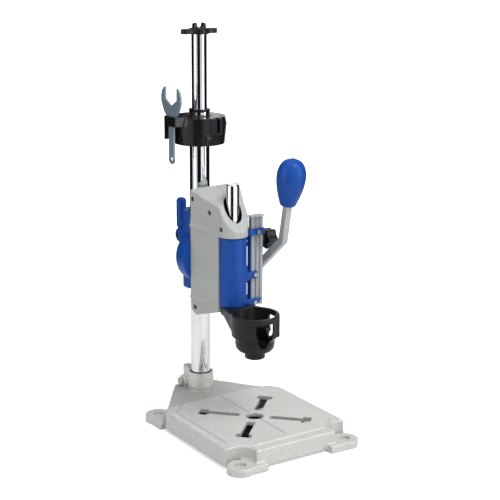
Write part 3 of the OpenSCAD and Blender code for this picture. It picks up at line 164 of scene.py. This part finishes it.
class Nodes:
    """A material's node tree, with short calls for the nodes that the finishes share."""

    def __init__(self, name):
        self.material = bpy.data.materials.new(name)
        self.material.use_nodes = True
        self.tree = self.material.node_tree
        self.shader = self.tree.nodes["Principled BSDF"]
        self.place = self.add("ShaderNodeTexCoord").outputs["Object"]

    def add(self, kind, **values):
        """New node with some of its properties set."""
        node = self.tree.nodes.new(kind)
        for key, value in values.items():
            setattr(node, key, value)
        return node

    def link(self, output, socket):
        self.tree.links.new(output, socket)

    def feed(self, value, socket):
        """Links an output to a socket, or sets a constant on it."""
        if isinstance(value, bpy.types.NodeSocket):
            self.link(value, socket)
        else:
            socket.default_value = value

    def calculate(self, operation, *values):
        """Result of a math node over outputs and constants."""
        node = self.add("ShaderNodeMath", operation=operation)
        for value, socket in zip(values, node.inputs):
            self.feed(value, socket)
        return node.outputs[0]

    def height_of(self, vector):
        """Z of a vector."""
        split = self.add("ShaderNodeSeparateXYZ")
        self.link(vector, split.inputs[0])
        return split.outputs["Z"]

    def noise(self, scale, detail, roughness=0.55, stretch=None):
        """Noise over the piece; stretch scales the three axes to draw it out."""
        node = self.add("ShaderNodeTexNoise")
        node.inputs["Scale"].default_value = scale
        node.inputs["Detail"].default_value = detail
        node.inputs["Roughness"].default_value = roughness
        place = self.place
        if stretch:
            mapping = self.add("ShaderNodeMapping")
            mapping.inputs["Scale"].default_value = stretch
            self.link(place, mapping.inputs["Vector"])
            place = mapping.outputs["Vector"]
        self.link(place, node.inputs["Vector"])
        return node.outputs["Fac"]

    def tones(self, value, colour, stops, shades):
        """Colour ramp over a value, with a shade of the colour at each stop."""
        node = self.add("ShaderNodeValToRGB")
        elements = node.color_ramp.elements
        while len(elements) < len(stops):
            elements.new(0.5)
        for element, position, factor in zip(elements, stops, shades):
            element.position = position
            element.color = shade(colour, factor)
        self.link(value, node.inputs["Fac"])
        return node.outputs["Color"]

    def spread(self, value, low, high, start=0.3, stop=0.7):
        """Maps a value that runs from start to stop to one from low to high."""
        node = self.add("ShaderNodeMapRange")
        node.inputs["From Min"].default_value = start
        node.inputs["From Max"].default_value = stop
        node.inputs["To Min"].default_value = low
        node.inputs["To Max"].default_value = high
        self.link(value, node.inputs["Value"])
        return node.outputs["Result"]

    def between_heights(self, low, high):
        """1 between two heights on the piece and 0 elsewhere."""
        return self.calculate("COMPARE", self.height_of(self.place), (low + high) / 2, (high - low) / 2)

    def level_between(self, low, high):
        """1 on faces that look up between two heights and 0 elsewhere."""
        facing = self.height_of(self.add("ShaderNodeNewGeometry").outputs["Normal"])
        level = self.spread(facing, 0.0, 1.0, *LOOKING_UP)
        return self.calculate("MULTIPLY", level, self.between_heights(low, high))

    def mix(self, share, first, second):
        """Colour between two others, each an output or a constant."""
        node = self.add("ShaderNodeMix", data_type="RGBA")
        self.link(share, node.inputs["Factor"])
        self.feed(first, node.inputs[MIX_FIRST])
        self.feed(second, node.inputs[MIX_SECOND])
        return node.outputs[MIX_RESULT]

    def bump(self, height, strength, distance, below):
        """Normal of a bumpy surface over the normal below it."""
        node = self.add("ShaderNodeBump")
        node.inputs["Strength"].default_value = strength
        node.inputs["Distance"].default_value = distance
        self.link(height, node.inputs["Height"])
        self.link(below, node.inputs["Normal"])
        return node.outputs["Normal"]

    def soft_edges(self, radius):
        """Normal that runs round the edges of the piece."""
        node = self.add("ShaderNodeBevel", samples=EDGE_SAMPLES)
        node.inputs["Radius"].default_value = radius
        return node.outputs["Normal"]

    def edge_wear_and_highlight(self):
        """How far the surface stands out at an edge, from 0 to 1, for lighter edges that are partly wear
        and partly painted highlight.
        """
        pointiness = self.add("ShaderNodeNewGeometry").outputs["Pointiness"]
        return self.spread(pointiness, 0.0, 1.0, *EDGE_WEAR_AND_HIGHLIGHT)

    def finish(self, colour, normal, roughness, metallic=0.0, specular=0.5):
        """The material, with what its surface is made of."""
        self.link(colour, self.shader.inputs["Base Color"])
        self.link(normal, self.shader.inputs["Normal"])
        self.link(roughness, self.shader.inputs["Roughness"])
        self.shader.inputs["Metallic"].default_value = metallic
        self.shader.inputs["Specular IOR Level"].default_value = specular
        return self.material

    def plain(self, roughness):
        """Dull surface with no shine, for the stage."""
        self.shader.inputs["Roughness"].default_value = roughness
        self.shader.inputs["Specular IOR Level"].default_value = 0.0


def moulded(name, colour, roughness, grain, grain_depth, specular, mottle=0.12, edge=1.25):
    """Moulded plastic: soft mottling, a fine grain and slightly lighter edges, partly from wear and
    partly painted highlight.
    """
    nodes = Nodes(name)
    clouds = nodes.noise(PLASTIC_CLOUDS, detail=3.0)
    body = nodes.tones(clouds, colour, WIDE_STOPS, (1 - mottle, 1 + mottle))
    # Lighter edges, partly wear and partly painted highlight
    worn_and_lit = nodes.mix(nodes.edge_wear_and_highlight(), body, shade(colour, edge))
    rounded = nodes.soft_edges(PLASTIC_EDGE)
    grit = nodes.noise(grain, detail=3.0, roughness=0.6)
    fine = nodes.bump(grit, strength=0.35, distance=grain_depth, below=rounded)
    sheen = nodes.noise(PLASTIC_GLOSS, detail=2.0)
    gloss = nodes.spread(sheen, *(roughness + drift for drift in PLASTIC_DRIFT))
    return nodes.finish(worn_and_lit, fine, gloss, specular=specular)


def cast_metal(name, colour, roughness, metallic, grain_depth):
    """Cast and coated aluminium: a pebbled, speckled skin with lighter edges, partly from wear and partly
    painted highlight.
    The top of the plate has less grain, the deck behind it is darker with painted shade and the socket is
    brighter."""
    nodes = Nodes(name)
    clouds = nodes.noise(CAST_CLOUDS, detail=5.0)
    specks = nodes.noise(CAST_SPECKS, detail=2.0)
    body = nodes.tones(clouds, colour, WIDE_STOPS, (1 - CAST_MOTTLE, 1 + CAST_MOTTLE))
    speckled = nodes.tones(specks, colour, SPECK_STOPS, SPECK_SHADES)
    grained = nodes.mix(nodes.level_between(*PLATE_TOP), speckled, body)
    # Lighter edges, partly wear and partly painted highlight
    worn_and_lit = nodes.mix(nodes.edge_wear_and_highlight(), grained, shade(colour, WORN_AND_LIT_EDGE_SHADE))
    # Painted shade on the level faces of the deck behind the plate
    deck_shaded = nodes.mix(nodes.level_between(*DECK_SHADE_HEIGHTS), worn_and_lit, shade(colour, DECK_PAINTED_SHADE))
    flecked = nodes.tones(specks, colour, CLOSE_STOPS, BARE_SHADES)
    bare = nodes.mix(nodes.between_heights(*BARE_SOCKET), deck_shaded, flecked)
    rounded = nodes.soft_edges(CAST_EDGE)
    pebbles = nodes.noise(CAST_PEBBLES, detail=3.0, roughness=0.65)
    pebbled = nodes.bump(pebbles, strength=0.5, distance=grain_depth, below=rounded)
    sheen = nodes.noise(CAST_GLOSS, detail=3.0)
    gloss = nodes.spread(sheen, *(roughness + drift for drift in CAST_DRIFT))
    return nodes.finish(bare, pebbled, gloss, metallic)


def drawn_metal(name, colour, roughness, stretch, scratch, metallic=1.0, shade_ring=None):
    """Turned, drawn or plated metal: fine scratches along one direction and a little colour drift.
    Given two heights, a tube gets a dark line of painted shade between them, for the gap at its foot, and
    faint bands of painted reflection too."""
    nodes = Nodes(name)
    lines = nodes.noise(METAL_LINES, detail=2.0, roughness=0.5, stretch=stretch)
    clouds = nodes.noise(METAL_CLOUDS, detail=3.0)
    body = nodes.tones(clouds, colour, CLOSE_STOPS, METAL_SHADES)
    if shade_ring:
        # Faint grey bands of painted reflection along the tube
        bands = nodes.noise(METAL_REFLECTION_BANDS, detail=1.0, roughness=0.5, stretch=ALONG_Z)
        share = nodes.spread(bands, 0.0, BAND_STRENGTH, *BAND_STOPS)
        body = nodes.mix(share, body, shade(colour, BAND_REFLECTION_SHADE))
        # Painted shade line for the gap at the foot of the tube
        body = nodes.mix(nodes.between_heights(*shade_ring), body, PAINTED_GAP_SHADE)
    rounded = nodes.soft_edges(METAL_EDGE)
    fine = nodes.bump(lines, strength=scratch, distance=SCRATCH_DEPTH, below=rounded)
    gloss = nodes.spread(lines, *(roughness * drift for drift in METAL_DRIFT))
    return nodes.finish(body, fine, gloss, metallic)


CHROME = srgb(226, 227, 229)
# Painted shade: dark line for the gap where the lower tube enters the socket
PAINTED_GAP_SHADE = srgb(36, 36, 38)

# Finish of each material slot
FINISHES = {
    "cast_aluminium": cast_metal(
        "cast_aluminium", srgb(201, 203, 199),
        roughness=0.5, metallic=0.25, grain_depth=0.28 * MM,
    ),
    "chrome_tube": drawn_metal(
        "chrome_tube", CHROME,
        roughness=0.05, stretch=ALONG_Z, scratch=0.03,
    ),
    "black_plastic": moulded(
        "black_plastic", srgb(27, 26, 29),
        roughness=0.34, grain=1500.0, grain_depth=0.05 * MM, specular=0.25,
    ),
    "blue_plastic": moulded(
        "blue_plastic", srgb(16, 75, 163),
        roughness=0.36, grain=1300.0, grain_depth=0.06 * MM, specular=0.22, mottle=0.06,
    ),
    "grey_plastic": moulded(
        "grey_plastic", srgb(180, 183, 181),
        roughness=0.56, grain=1400.0, grain_depth=0.06 * MM, specular=0.25, mottle=0.03, edge=1.08,
    ),
    "rail_aluminium": drawn_metal(
        "rail_aluminium", srgb(184, 186, 184),
        roughness=0.42, stretch=ALONG_Z, scratch=0.15, metallic=0.45,
    ),
    "steel": drawn_metal(
        "steel", srgb(150, 154, 158),
        roughness=0.34, stretch=ALONG_X, scratch=0.15,
    ),
    "wrench_steel": drawn_metal(
        "wrench_steel", srgb(122, 140, 150),
        roughness=0.42, stretch=ALONG_X, scratch=0.2, metallic=0.2,
    ),
    "bronze": drawn_metal(
        "bronze", srgb(172, 134, 82),
        roughness=0.4, stretch=ALONG_X, scratch=0.2,
    ),
}

# Finishes of single nodes that differ from the rest of their slot
GLOSSY_BLACK = moulded(
    "glossy_black", srgb(24, 23, 26),
    roughness=0.2, grain=1500.0, grain_depth=0.03 * MM, specular=0.3,
)
# Matt black: the duller front of the drum's pocket, and painted shade on the wall of the carriage's rod
# hole
MATT_BLACK = moulded(
    "matt_black", srgb(29, 28, 31),
    roughness=0.55, grain=1500.0, grain_depth=0.05 * MM, specular=0.15,
)
DARK_STEEL = drawn_metal(
    "dark_steel", srgb(62, 58, 56),
    roughness=0.5, stretch=ALONG_X, scratch=0.2, metallic=0.5,
)
BRIGHT_STEEL = drawn_metal(
    "bright_steel", srgb(186, 188, 186),
    roughness=0.4, stretch=ALONG_X, scratch=0.15, metallic=0.4,
)
RAIL_GREY = drawn_metal(
    "rail_grey", srgb(166, 170, 172),
    roughness=0.5, stretch=ALONG_Z, scratch=0.15, metallic=0.15,
)
# Chrome of the lower tube, with a painted shade line at its foot and bands of painted reflection
SHADE_RINGED_CHROME = drawn_metal(
    "shade_ringed_chrome", CHROME,
    roughness=0.05, stretch=ALONG_Z, scratch=0.03, shade_ring=(SOCKET_TOP - FOOT_SHADE_RING, SOCKET_TOP + FOOT_SHADE_RING),
)
OWN_FINISH = {
    "storage_drum": GLOSSY_BLACK,
    "tube_bush": GLOSSY_BLACK,
    "carriage_screws": DARK_STEEL,
    "gauge_rail": RAIL_GREY,
    "lower_tube": SHADE_RINGED_CHROME,
    "socket_screw": BRIGHT_STEEL,
    "socket_nut": BRIGHT_STEEL,
}


def finish_of(node):
    """A node's own finish, or that of its slot."""
    return OWN_FINISH.get(node) or FINISHES[SLOT_OF[node]]


# Pieces

# Bevelled copies
WELD_DISTANCE = 0.002 * MM
FLAT_ANGLE = math.radians(0.4)
SHARP_ANGLE = math.radians(28)
SMOOTH_ANGLE = math.radians(38)
ROOM_SHARE = 0.42
ROUND_STEPS = 3
FAR = 1.0
TINY = 1e-12

# Softened copies
SMOOTH_SHARE = 0.5
GROOVE_ANGLE = math.radians(55)
NORMAL_WEIGHT = 80


def place_piece(name, mesh, node):
    """A piece that stands for a node: it rides on the node's body and takes the node's finish."""
    piece = bpy.data.objects.new(name, mesh)
    bpy.context.scene.collection.objects.link(piece)
    mesh.materials.clear()
    mesh.materials.append(finish_of(node))
    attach(piece, BODY_OF[node])
    return piece


def edge_room(edge, sharp):
    """Distance from an edge to the nearest other sharp edge across the two faces beside it."""
    middle = (edge.verts[0].co + edge.verts[1].co) / 2
    room = FAR
    for face in edge.link_faces:
        for other in face.edges:
            if other in sharp and not set(other.verts) & set(edge.verts):
                a, b = other.verts[0].co, other.verts[1].co
                along = b - a
                share = (middle - a).dot(along) / max(along.length_squared, TINY)
                nearest = a + along * max(0.0, min(1.0, share))
                room = min(room, (nearest - middle).length)
    return room


def rounded_node(node, width):
    """Copy of a node's solid with its sharp edges rounded as far as their faces have room."""
    mesh = bpy.data.meshes.new(node + "_rounded")
    shape = bmesh.new()
    shape.from_mesh(NODES[node].data)
    bmesh.ops.remove_doubles(shape, verts=shape.verts, dist=WELD_DISTANCE)
    bmesh.ops.dissolve_limit(shape, angle_limit=FLAT_ANGLE, verts=shape.verts, edges=shape.edges)
    weights = shape.edges.layers.float.new("bevel_weight_edge")
    sharp = {e for e in shape.edges if e.is_manifold and e.calc_face_angle(0.0) > SHARP_ANGLE}
    for edge in sharp:
        edge[weights] = min(1.0, ROOM_SHARE * edge_room(edge, sharp) / width)
    shape.to_mesh(mesh)
    shape.free()
    if mesh.attributes.get("custom_normal"):
        mesh.attributes.remove(mesh.attributes["custom_normal"])
    mesh.shade_smooth()
    mesh.set_sharp_from_angle(angle=SMOOTH_ANGLE)
    piece = place_piece(node + "_skin", mesh, node)
    bevel = piece.modifiers.new("rounding", "BEVEL")
    bevel.limit_method = "WEIGHT"
    bevel.width = width
    bevel.segments = ROUND_STEPS
    bevel.use_clamp_overlap = False
    bevel.harden_normals = False
    normals = piece.modifiers.new("normals", "WEIGHTED_NORMAL")
    normals.keep_sharp = True
    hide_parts(node)


def worked_mesh(piece):
    """Mesh of a piece after its modifiers, which are then gone from it."""
    seen = piece.evaluated_get(bpy.context.evaluated_depsgraph_get())
    mesh = bpy.data.meshes.new_from_object(seen)
    piece.modifiers.clear()
    piece.data = mesh
    return mesh


def carve(piece, cutter_shape):
    """Cuts a closed shape out of a piece."""
    mesh = bpy.data.meshes.new("cutter")
    cutter_shape.to_mesh(mesh)
    cutter_shape.free()
    cutter = bpy.data.objects.new("cutter", mesh)
    bpy.context.scene.collection.objects.link(cutter)
    cutting = piece.modifiers.new("cut", "BOOLEAN")
    cutting.operation = "DIFFERENCE"
    cutting.object = cutter
    worked_mesh(piece)
    bpy.data.objects.remove(cutter)


def cast_node(node, voxel, share, rounds, cutter=None):
    """Copy of a node's solid as it leaves its mould: every edge and corner runs over in a soft round.
    The solid is cut into voxels, smoothed in rounds of (passes, where(point) or None for everywhere),
    thinned to a share of its faces and then cut, where fine grooves have to stay crisp."""
    piece = place_piece(node + "_skin", NODES[node].data.copy(), node)
    remesh = piece.modifiers.new("voxels", "REMESH")
    remesh.mode = "VOXEL"
    remesh.voxel_size = voxel
    mesh = worked_mesh(piece)
    for passes, where in rounds:
        smooth = piece.modifiers.new("smooth", "SMOOTH")
        smooth.factor = SMOOTH_SHARE
        smooth.iterations = passes
        if where:
            free = piece.vertex_groups.new(name=where.__name__)
            free.add([v.index for v in mesh.vertices if where(v.co)], 1.0, "REPLACE")
            smooth.vertex_group = free.name
    thin = piece.modifiers.new("thin", "DECIMATE")
    thin.ratio = share
    worked_mesh(piece)
    piece.vertex_groups.clear()
    if cutter:
        carve(piece, cutter)
    piece.data.shade_smooth()
    if cutter:
        piece.data.set_sharp_from_angle(angle=GROOVE_ANGLE)
    normals = piece.modifiers.new("normals", "WEIGHTED_NORMAL")
    normals.weight = NORMAL_WEIGHT
    normals.keep_sharp = True
    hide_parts(node)
    return piece


def second_finish(piece, finish, where):
    """Gives another finish to the faces of a piece that where(face) picks."""
    piece.data.materials.append(finish)
    for face in piece.data.polygons:
        if where(face):
            face.material_index = 1


def add_box(shape, low, high):
    """Box between two corners."""
    low, high = Vector(low), Vector(high)
    place = Matrix.LocRotScale((low + high) / 2, None, high - low)
    bmesh.ops.create_cube(shape, size=1.0, matrix=place)


def add_bar(shape, place, height, low_r, high_r, sides):
    """Upright round bar, or one that widens, centred on a place."""
    bmesh.ops.create_cone(
        shape, cap_ends=True, segments=sides, depth=height,
        radius1=low_r, radius2=high_r, matrix=Matrix.Translation(place),
    )


# Base

BASE_HALF_W = 86 * MM
DRILL_Y = -11.5 * MM
CUT_OVER = 2 * MM

# Scribed cross
CROSS_DEPTH = 0.7 * MM
CROSS_LONG_W = 1.2 * MM
CROSS_SIDE_W = 0.7 * MM
CROSS_FRONT = 68 * MM
CROSS_REAR = 78 * MM
CROSS_HALF_X = 62 * MM

# Gap round the foot of the column
SOCKET_GAP = 1.0 * MM
SOCKET_GAP_DEPTH = 3.0 * MM
SOCKET_GAP_SIDES = 96

# Ruler
TICKS = 13
LONG_TICK_EVERY = 5
TICK_PITCH = 8 * MM
TICK_START = 46 * MM
TICK_INSET = 2 * MM
TICK_W = 1.0 * MM
TICK_H = 0.6 * MM
TICK_SINK = 0.5 * MM
LONG_TICK = 9 * MM
SHORT_TICK = 7 * MM
TICK_ROUND = 0.28 * MM

# Feet with their sunk bolt holes, and the scoops above them
SINK_DEPTH = 4 * MM
SINK_R = 6.8 * MM
SINK_LEAN = 0.6 * MM
SINK_SIDES = 64
CORNER_ROOM = 27 * MM
CORNER_LIFT = 2 * MM
BOLTS = next(m["dims"] for m in RECORD["mounts"] if m["name"] == "bench_bolts")
FEET = [
    (side * BOLTS["spacing_x_mm"] / 2 * MM, end * BOLTS["spacing_y_mm"] / 2 * MM)
    for side in (-1, 1) for end in (-1, 1)
]


def rolled_corner(point):
    """The edges that roll over softly into the scoops above the feet."""
    near = any(math.hypot(point.x - x, point.y - y) < CORNER_ROOM for x, y in FEET)
    return near and point.z > FOOT_H + CORNER_LIFT


def base_grooves():
    """The scribed cross on the plate, the gap round the foot of the column and the sunk bolt holes."""
    shape = bmesh.new()
    low, high = PLATE_Z - CROSS_DEPTH, PLATE_Z + CUT_OVER
    half_long, half_side = CROSS_LONG_W / 2, CROSS_SIDE_W / 2
    add_box(shape, (-half_long, DRILL_Y - CROSS_FRONT, low), (half_long, DRILL_Y + CROSS_REAR, high))
    for side in (-1, 1):
        left, right = sorted((side * CROSS_LONG_W, side * CROSS_HALF_X))
        add_box(shape, (left, DRILL_Y - half_side, low), (right, DRILL_Y + half_side, high))
    gap_r = TUBE_R + SOCKET_GAP
    gap_h = 2 * SOCKET_GAP_DEPTH
    gap_place = (0.0, COLUMN_Y, SOCKET_TOP - SOCKET_GAP_DEPTH + gap_h / 2)
    add_bar(shape, gap_place, gap_h, gap_r, gap_r, SOCKET_GAP_SIDES)
    for x, y in FEET:
        add_bar(shape, (x, y, FOOT_H), 2 * SINK_DEPTH, SINK_R - SINK_LEAN, SINK_R + SINK_LEAN, SINK_SIDES)
    return shape


def base_ticks():
    """Raised ticks of the ruler on the left border."""
    shape = bmesh.new()
    for i in range(TICKS):
        length = SHORT_TICK if i % LONG_TICK_EVERY else LONG_TICK
        x = -BASE_HALF_W + TICK_INSET
        y = TICK_START - i * TICK_PITCH
        add_box(shape, (x, y, BORDER_Z - TICK_SINK), (x + length, y + TICK_W, BORDER_Z + TICK_H))
    upper = [e for e in shape.edges if max(v.co.z for v in e.verts) > BORDER_Z]
    bmesh.ops.bevel(shape, geom=upper, offset=TICK_ROUND, segments=2, affect="EDGES", profile=0.5)
    mesh = bpy.data.meshes.new("base_ticks")
    shape.to_mesh(mesh)
    shape.free()
    mesh.shade_smooth()
    place_piece("base_ticks", mesh, "base_casting")


# Drum

POCKET_X = (-5.5 * MM, 13 * MM)
POCKET_FACING = -0.8


def pocket_front(face):
    """The flat front of the drum's pocket, which is duller than the rest of the drum."""
    return face.normal.y < POCKET_FACING and POCKET_X[0] < face.center.x < POCKET_X[1]


# Carriage

PARTING = 0.45 * MM
HEAD_LOW = 258 * MM
FOOT_HIGH = 147 * MM

# Side ribs
RIB_FRONT = 59 * MM
RIB_REACH = 5.5 * MM
RIB_INNER = 20 * MM
RIB_Z = (157 * MM, 249 * MM)

# Mouth of the guide rod's hole
MOUTH_ROOM = 13 * MM
# Reach of the painted shade on the wall of the rod's hole
MOUTH_SHADE_R = 11.25 * MM
MOUTH_LOW = 243 * MM

# Side screws as (depth, height)
SCREW_ROOM = 4.4 * MM
SIDE_SCREWS = (
    (CARRIAGE_BACK - 3.5 * MM, 282 * MM),
    (ROD_Y + 20.5 * MM, 270 * MM),
    (CARRIAGE_BACK - 8 * MM, 144 * MM),
    (ROD_Y - 2 * MM, 253 * MM),
)


def off_parting(point):
    """Away from x = 0, where the two halves meet and the edges stay crisp."""
    return abs(point.x) > PARTING


def plain_side(point):
    """Away from the parting line, the side ribs and the screw recesses."""
    at_ribs = any(abs(point.z - z) < RIB_REACH for z in RIB_Z)
    rib = point.y > RIB_FRONT and abs(point.x) > RIB_INNER and at_ribs
    screw = any(math.hypot(point.y - y, point.z - z) < SCREW_ROOM for y, z in SIDE_SCREWS)
    return off_parting(point) and not rib and not screw


def from_rod(point):
    """Distance from the axis of the guide rod."""
    return math.hypot(point.x, point.y - ROD_Y)


def soft_head(point):
    """The broad soft edges of the head, clear of the rod's mouth."""
    return point.z > HEAD_LOW and plain_side(point) and from_rod(point) > MOUTH_ROOM


def soft_foot(point):
    """The rounded lower end of the carriage."""
    return point.z < FOOT_HIGH and plain_side(point)


def shaded_mouth_wall(face):
    """The wall of the rod's hole up to the mouth, painted black as shade."""
    return from_rod(face.center) < MOUTH_SHADE_R and face.center.z > MOUTH_LOW


# The dressed part

# Width of the rounded edges of each bevelled node
ROUNDED = {
    "tube_bush": 0.4 * MM,
    "depth_stop": 0.6 * MM,
    "feed_lever": 1.5 * MM,
    "lock_knob": 1.0 * MM,
    "gauge_rail": 0.4 * MM,
    "rail_cap": 0.5 * MM,
    "collet_wrench": 0.3 * MM,
    "guide_rod": 0.3 * MM,
    "lower_tube": 0.3 * MM,
    "upper_tube": 0.3 * MM,
}
# Voxel, share of the faces that stays and smoothing passes of each softened node
CAST = {
    "storage_drum": (0.5 * MM, 0.2, 3),
    "hook_cap": (0.4 * MM, 0.25, 3),
    "clamp_front": (0.6 * MM, 0.2, 6),
    "clamp_rear": (0.6 * MM, 0.2, 6),
    "cam_lever": (0.4 * MM, 0.25, 6),
    "slide_body": (0.6 * MM, 0.2, 4),
    "tool_cup": (0.5 * MM, 0.25, 3),
    "lever_knob": (0.9 * MM, 0.5, 20),
}
CARRIAGE_VOXEL = 0.6 * MM
BASE_VOXEL = 0.7 * MM
LARGE_SHARE = 0.16
CARRIAGE_ROUNDS = [(2, off_parting), (6, plain_side), (26, soft_head), (36, soft_foot)]
BASE_ROUNDS = [(5, None), (30, rolled_corner)]


def dress():
    """Softens and finishes the nodes."""
    for name, width in ROUNDED.items():
        rounded_node(name, width)
    for name, (voxel, share, passes) in CAST.items():
        piece = cast_node(name, voxel, share, [(passes, None)])
        if name == "storage_drum":
            second_finish(piece, MATT_BLACK, pocket_front)
    for name in ("carriage_left", "carriage_right"):
        half = cast_node(name, CARRIAGE_VOXEL, LARGE_SHARE, CARRIAGE_ROUNDS)
        # Painted shade on the wall of the rod's hole
        second_finish(half, MATT_BLACK, shaded_mouth_wall)
    cast_node("base_casting", BASE_VOXEL, LARGE_SHARE, BASE_ROUNDS, base_grooves())
    base_ticks()
    for name, obj in NODES.items():
        obj.data.materials.clear()
        obj.data.materials.append(finish_of(name))


# Stage

WHITE = grey(1.0)

# Floor: its glow near the stand, the distances between which that rises to full,
# and the share of it in reflections
FLOOR_SIZE = 80.0
FLOOR_LIFT = 0.45
FLOOR_NEAR = 0.35
FLOOR_FAR = 1.1
FLOOR_GLOSS = 0.22
FLOOR_PALE = grey(0.82)
FLOOR_ROUGHNESS = 0.9
# Painted shadow: a dark patch under the base, which shows through its slots
FLOOR_SHADOW_R = 0.075
FLOOR_EDGE = 0.005
FLOOR_PAINTED_SHADOW = grey(0.02)

# Light from all round, as a share of the white that shows
WORLD_LIGHT = 0.62

# Dark cards round the column
CARD_COLOUR = grey(0.01)
CARD_STEPS = 12
CARD_HIGH = 1.2


def add_floor():
    """Pale floor that is white to the camera, keeps the shadow, has a painted shadow under the base and
    shows dimly in the metal.
    """
    bpy.ops.mesh.primitive_plane_add(size=FLOOR_SIZE)
    floor = bpy.context.object
    floor.name = "floor"
    nodes = Nodes("floor_white")
    path = nodes.add("ShaderNodeLightPath")
    away = nodes.add("ShaderNodeVectorMath", operation="LENGTH")
    nodes.link(nodes.place, away.inputs[0])
    distance = away.outputs["Value"]
    lift = nodes.spread(distance, FLOOR_LIFT, 1.0, FLOOR_NEAR, FLOOR_FAR)
    # Painted shadow under the base: no glow and a dark colour there
    under = nodes.spread(distance, 0.0, 1.0, FLOOR_SHADOW_R, FLOOR_SHADOW_R + FLOOR_EDGE)
    seen = nodes.calculate(
        "MULTIPLY_ADD", path.outputs["Is Glossy Ray"], FLOOR_GLOSS, path.outputs["Is Camera Ray"]
    )
    open_floor = nodes.calculate("MULTIPLY", lift, under)
    glow = nodes.add("ShaderNodeEmission")
    glow.inputs["Color"].default_value = WHITE
    nodes.link(nodes.calculate("MULTIPLY", open_floor, seen), glow.inputs["Strength"])
    nodes.link(nodes.mix(under, FLOOR_PAINTED_SHADOW, FLOOR_PALE), nodes.shader.inputs["Base Color"])
    nodes.plain(FLOOR_ROUGHNESS)
    both = nodes.add("ShaderNodeAddShader")
    nodes.link(nodes.shader.outputs["BSDF"], both.inputs[0])
    nodes.link(glow.outputs["Emission"], both.inputs[1])
    nodes.link(both.outputs["Shader"], nodes.tree.nodes["Material Output"].inputs["Surface"])
    floor.data.materials.append(nodes.material)


def add_world():
    """Soft light from all round, white where the camera or a reflection sees it."""
    world = bpy.data.worlds.new("studio")
    bpy.context.scene.world = world
    world.use_nodes = True
    tree = world.node_tree
    background = tree.nodes["Background"]
    background.inputs["Color"].default_value = WHITE
    path = tree.nodes.new("ShaderNodeLightPath")
    seen = path.outputs["Is Camera Ray"]
    for ray in ("Is Glossy Ray", "Is Transmission Ray"):
        either = tree.nodes.new("ShaderNodeMath")
        either.operation = "MAXIMUM"
        tree.links.new(seen, either.inputs[0])
        tree.links.new(path.outputs[ray], either.inputs[1])
        seen = either.outputs[0]
    strength = tree.nodes.new("ShaderNodeMapRange")
    strength.inputs["To Min"].default_value = WORLD_LIGHT
    strength.inputs["To Max"].default_value = 1.0
    tree.links.new(seen, strength.inputs["Value"])
    tree.links.new(strength.outputs["Result"], background.inputs["Strength"])


def add_lamp(name, place, target, size, power, shines=True):
    """Area lamp of (width, height). One that doesn't shine shows only in glossy surfaces."""
    lamp = bpy.data.lights.new(name, "AREA")
    lamp.shape = "RECTANGLE"
    lamp.size, lamp.size_y = size
    lamp.energy = power
    obj = bpy.data.objects.new(name, lamp)
    obj.visible_diffuse = shines
    obj.location = place
    obj.rotation_euler = (Vector(target) - Vector(place)).to_track_quat("-Z", "Y").to_euler()
    bpy.context.scene.collection.objects.link(obj)


def add_dark_card(name, azimuth, half_turn, distance):
    """Dark card of the studio that only reflections see, which draws the dark bands in the chrome.
    Its azimuth in degrees is counted round the column from the photograph's side."""
    mesh = bpy.data.meshes.new(name)
    shape = bmesh.new()
    photo_side = math.atan2(CAMERA_PLACE.y - COLUMN_Y, CAMERA_PLACE.x)
    rows = []
    for i in range(CARD_STEPS + 1):
        turn = photo_side + math.radians(azimuth - half_turn + 2 * half_turn * i / CARD_STEPS)
        x = distance * math.cos(turn)
        y = COLUMN_Y + distance * math.sin(turn)
        rows.append((shape.verts.new((x, y, 0.0)), shape.verts.new((x, y, CARD_HIGH))))
    for (a, b), (c, d) in zip(rows, rows[1:]):
        shape.faces.new((a, c, d, b))
    shape.to_mesh(mesh)
    shape.free()
    card = bpy.data.objects.new(name, mesh)
    bpy.context.scene.collection.objects.link(card)
    nodes = Nodes(name)
    nodes.shader.inputs["Base Color"].default_value = CARD_COLOUR
    nodes.plain(1.0)
    mesh.materials.append(nodes.material)
    card.visible_camera = False
    card.visible_diffuse = False
    card.visible_shadow = False
    card.visible_transmission = False


def add_camera():
    """Camera at the photograph's place, turned by its yaw, pitch and roll."""
    forward = Vector((
        math.sin(CAMERA_YAW) * math.cos(CAMERA_PITCH),
        math.cos(CAMERA_YAW) * math.cos(CAMERA_PITCH),
        -math.sin(CAMERA_PITCH),
    ))
    level = Vector((math.cos(CAMERA_YAW), -math.sin(CAMERA_YAW), 0.0))
    over = level.cross(forward)
    right = math.cos(CAMERA_ROLL) * level + math.sin(CAMERA_ROLL) * over
    up = math.cos(CAMERA_ROLL) * over - math.sin(CAMERA_ROLL) * level
    camera = bpy.data.cameras.new("camera")
    camera.lens = CAMERA_LENS
    camera.sensor_width = CAMERA_SENSOR
    camera.clip_end = CAMERA_REACH
    obj = bpy.data.objects.new("camera", camera)
    turn = Matrix((right, up, -forward)).transposed().to_4x4()
    obj.matrix_world = Matrix.Translation(CAMERA_PLACE) @ turn
    bpy.context.scene.collection.objects.link(obj)
    bpy.context.scene.camera = obj


dress()
add_floor()
add_world()
add_lamp("key", place=(0.3, -1.15, 2.4), target=(0.0, 0.0, 0.2), size=(1.4, 1.4), power=46.0)
add_lamp(
    "glint_right", place=(0.75, -1.05, 0.4), target=(0.0, 0.05, 0.33),
    size=(0.45, 1.1), power=6.0, shines=False,
)
add_lamp(
    "glint_left", place=(-1.25, 0.15, 0.45), target=(0.0, 0.1, 0.35),
    size=(0.25, 1.0), power=2.5, shines=False,
)
add_dark_card("dark_camera", azimuth=-7.0, half_turn=21.0, distance=0.75)
add_dark_card("dark_right", azimuth=111.0, half_turn=37.0, distance=0.6)
add_dark_card("dark_left", azimuth=-134.0, half_turn=45.0, distance=0.6)
add_camera()
bpy.context.scene.view_settings.view_transform = "Standard"
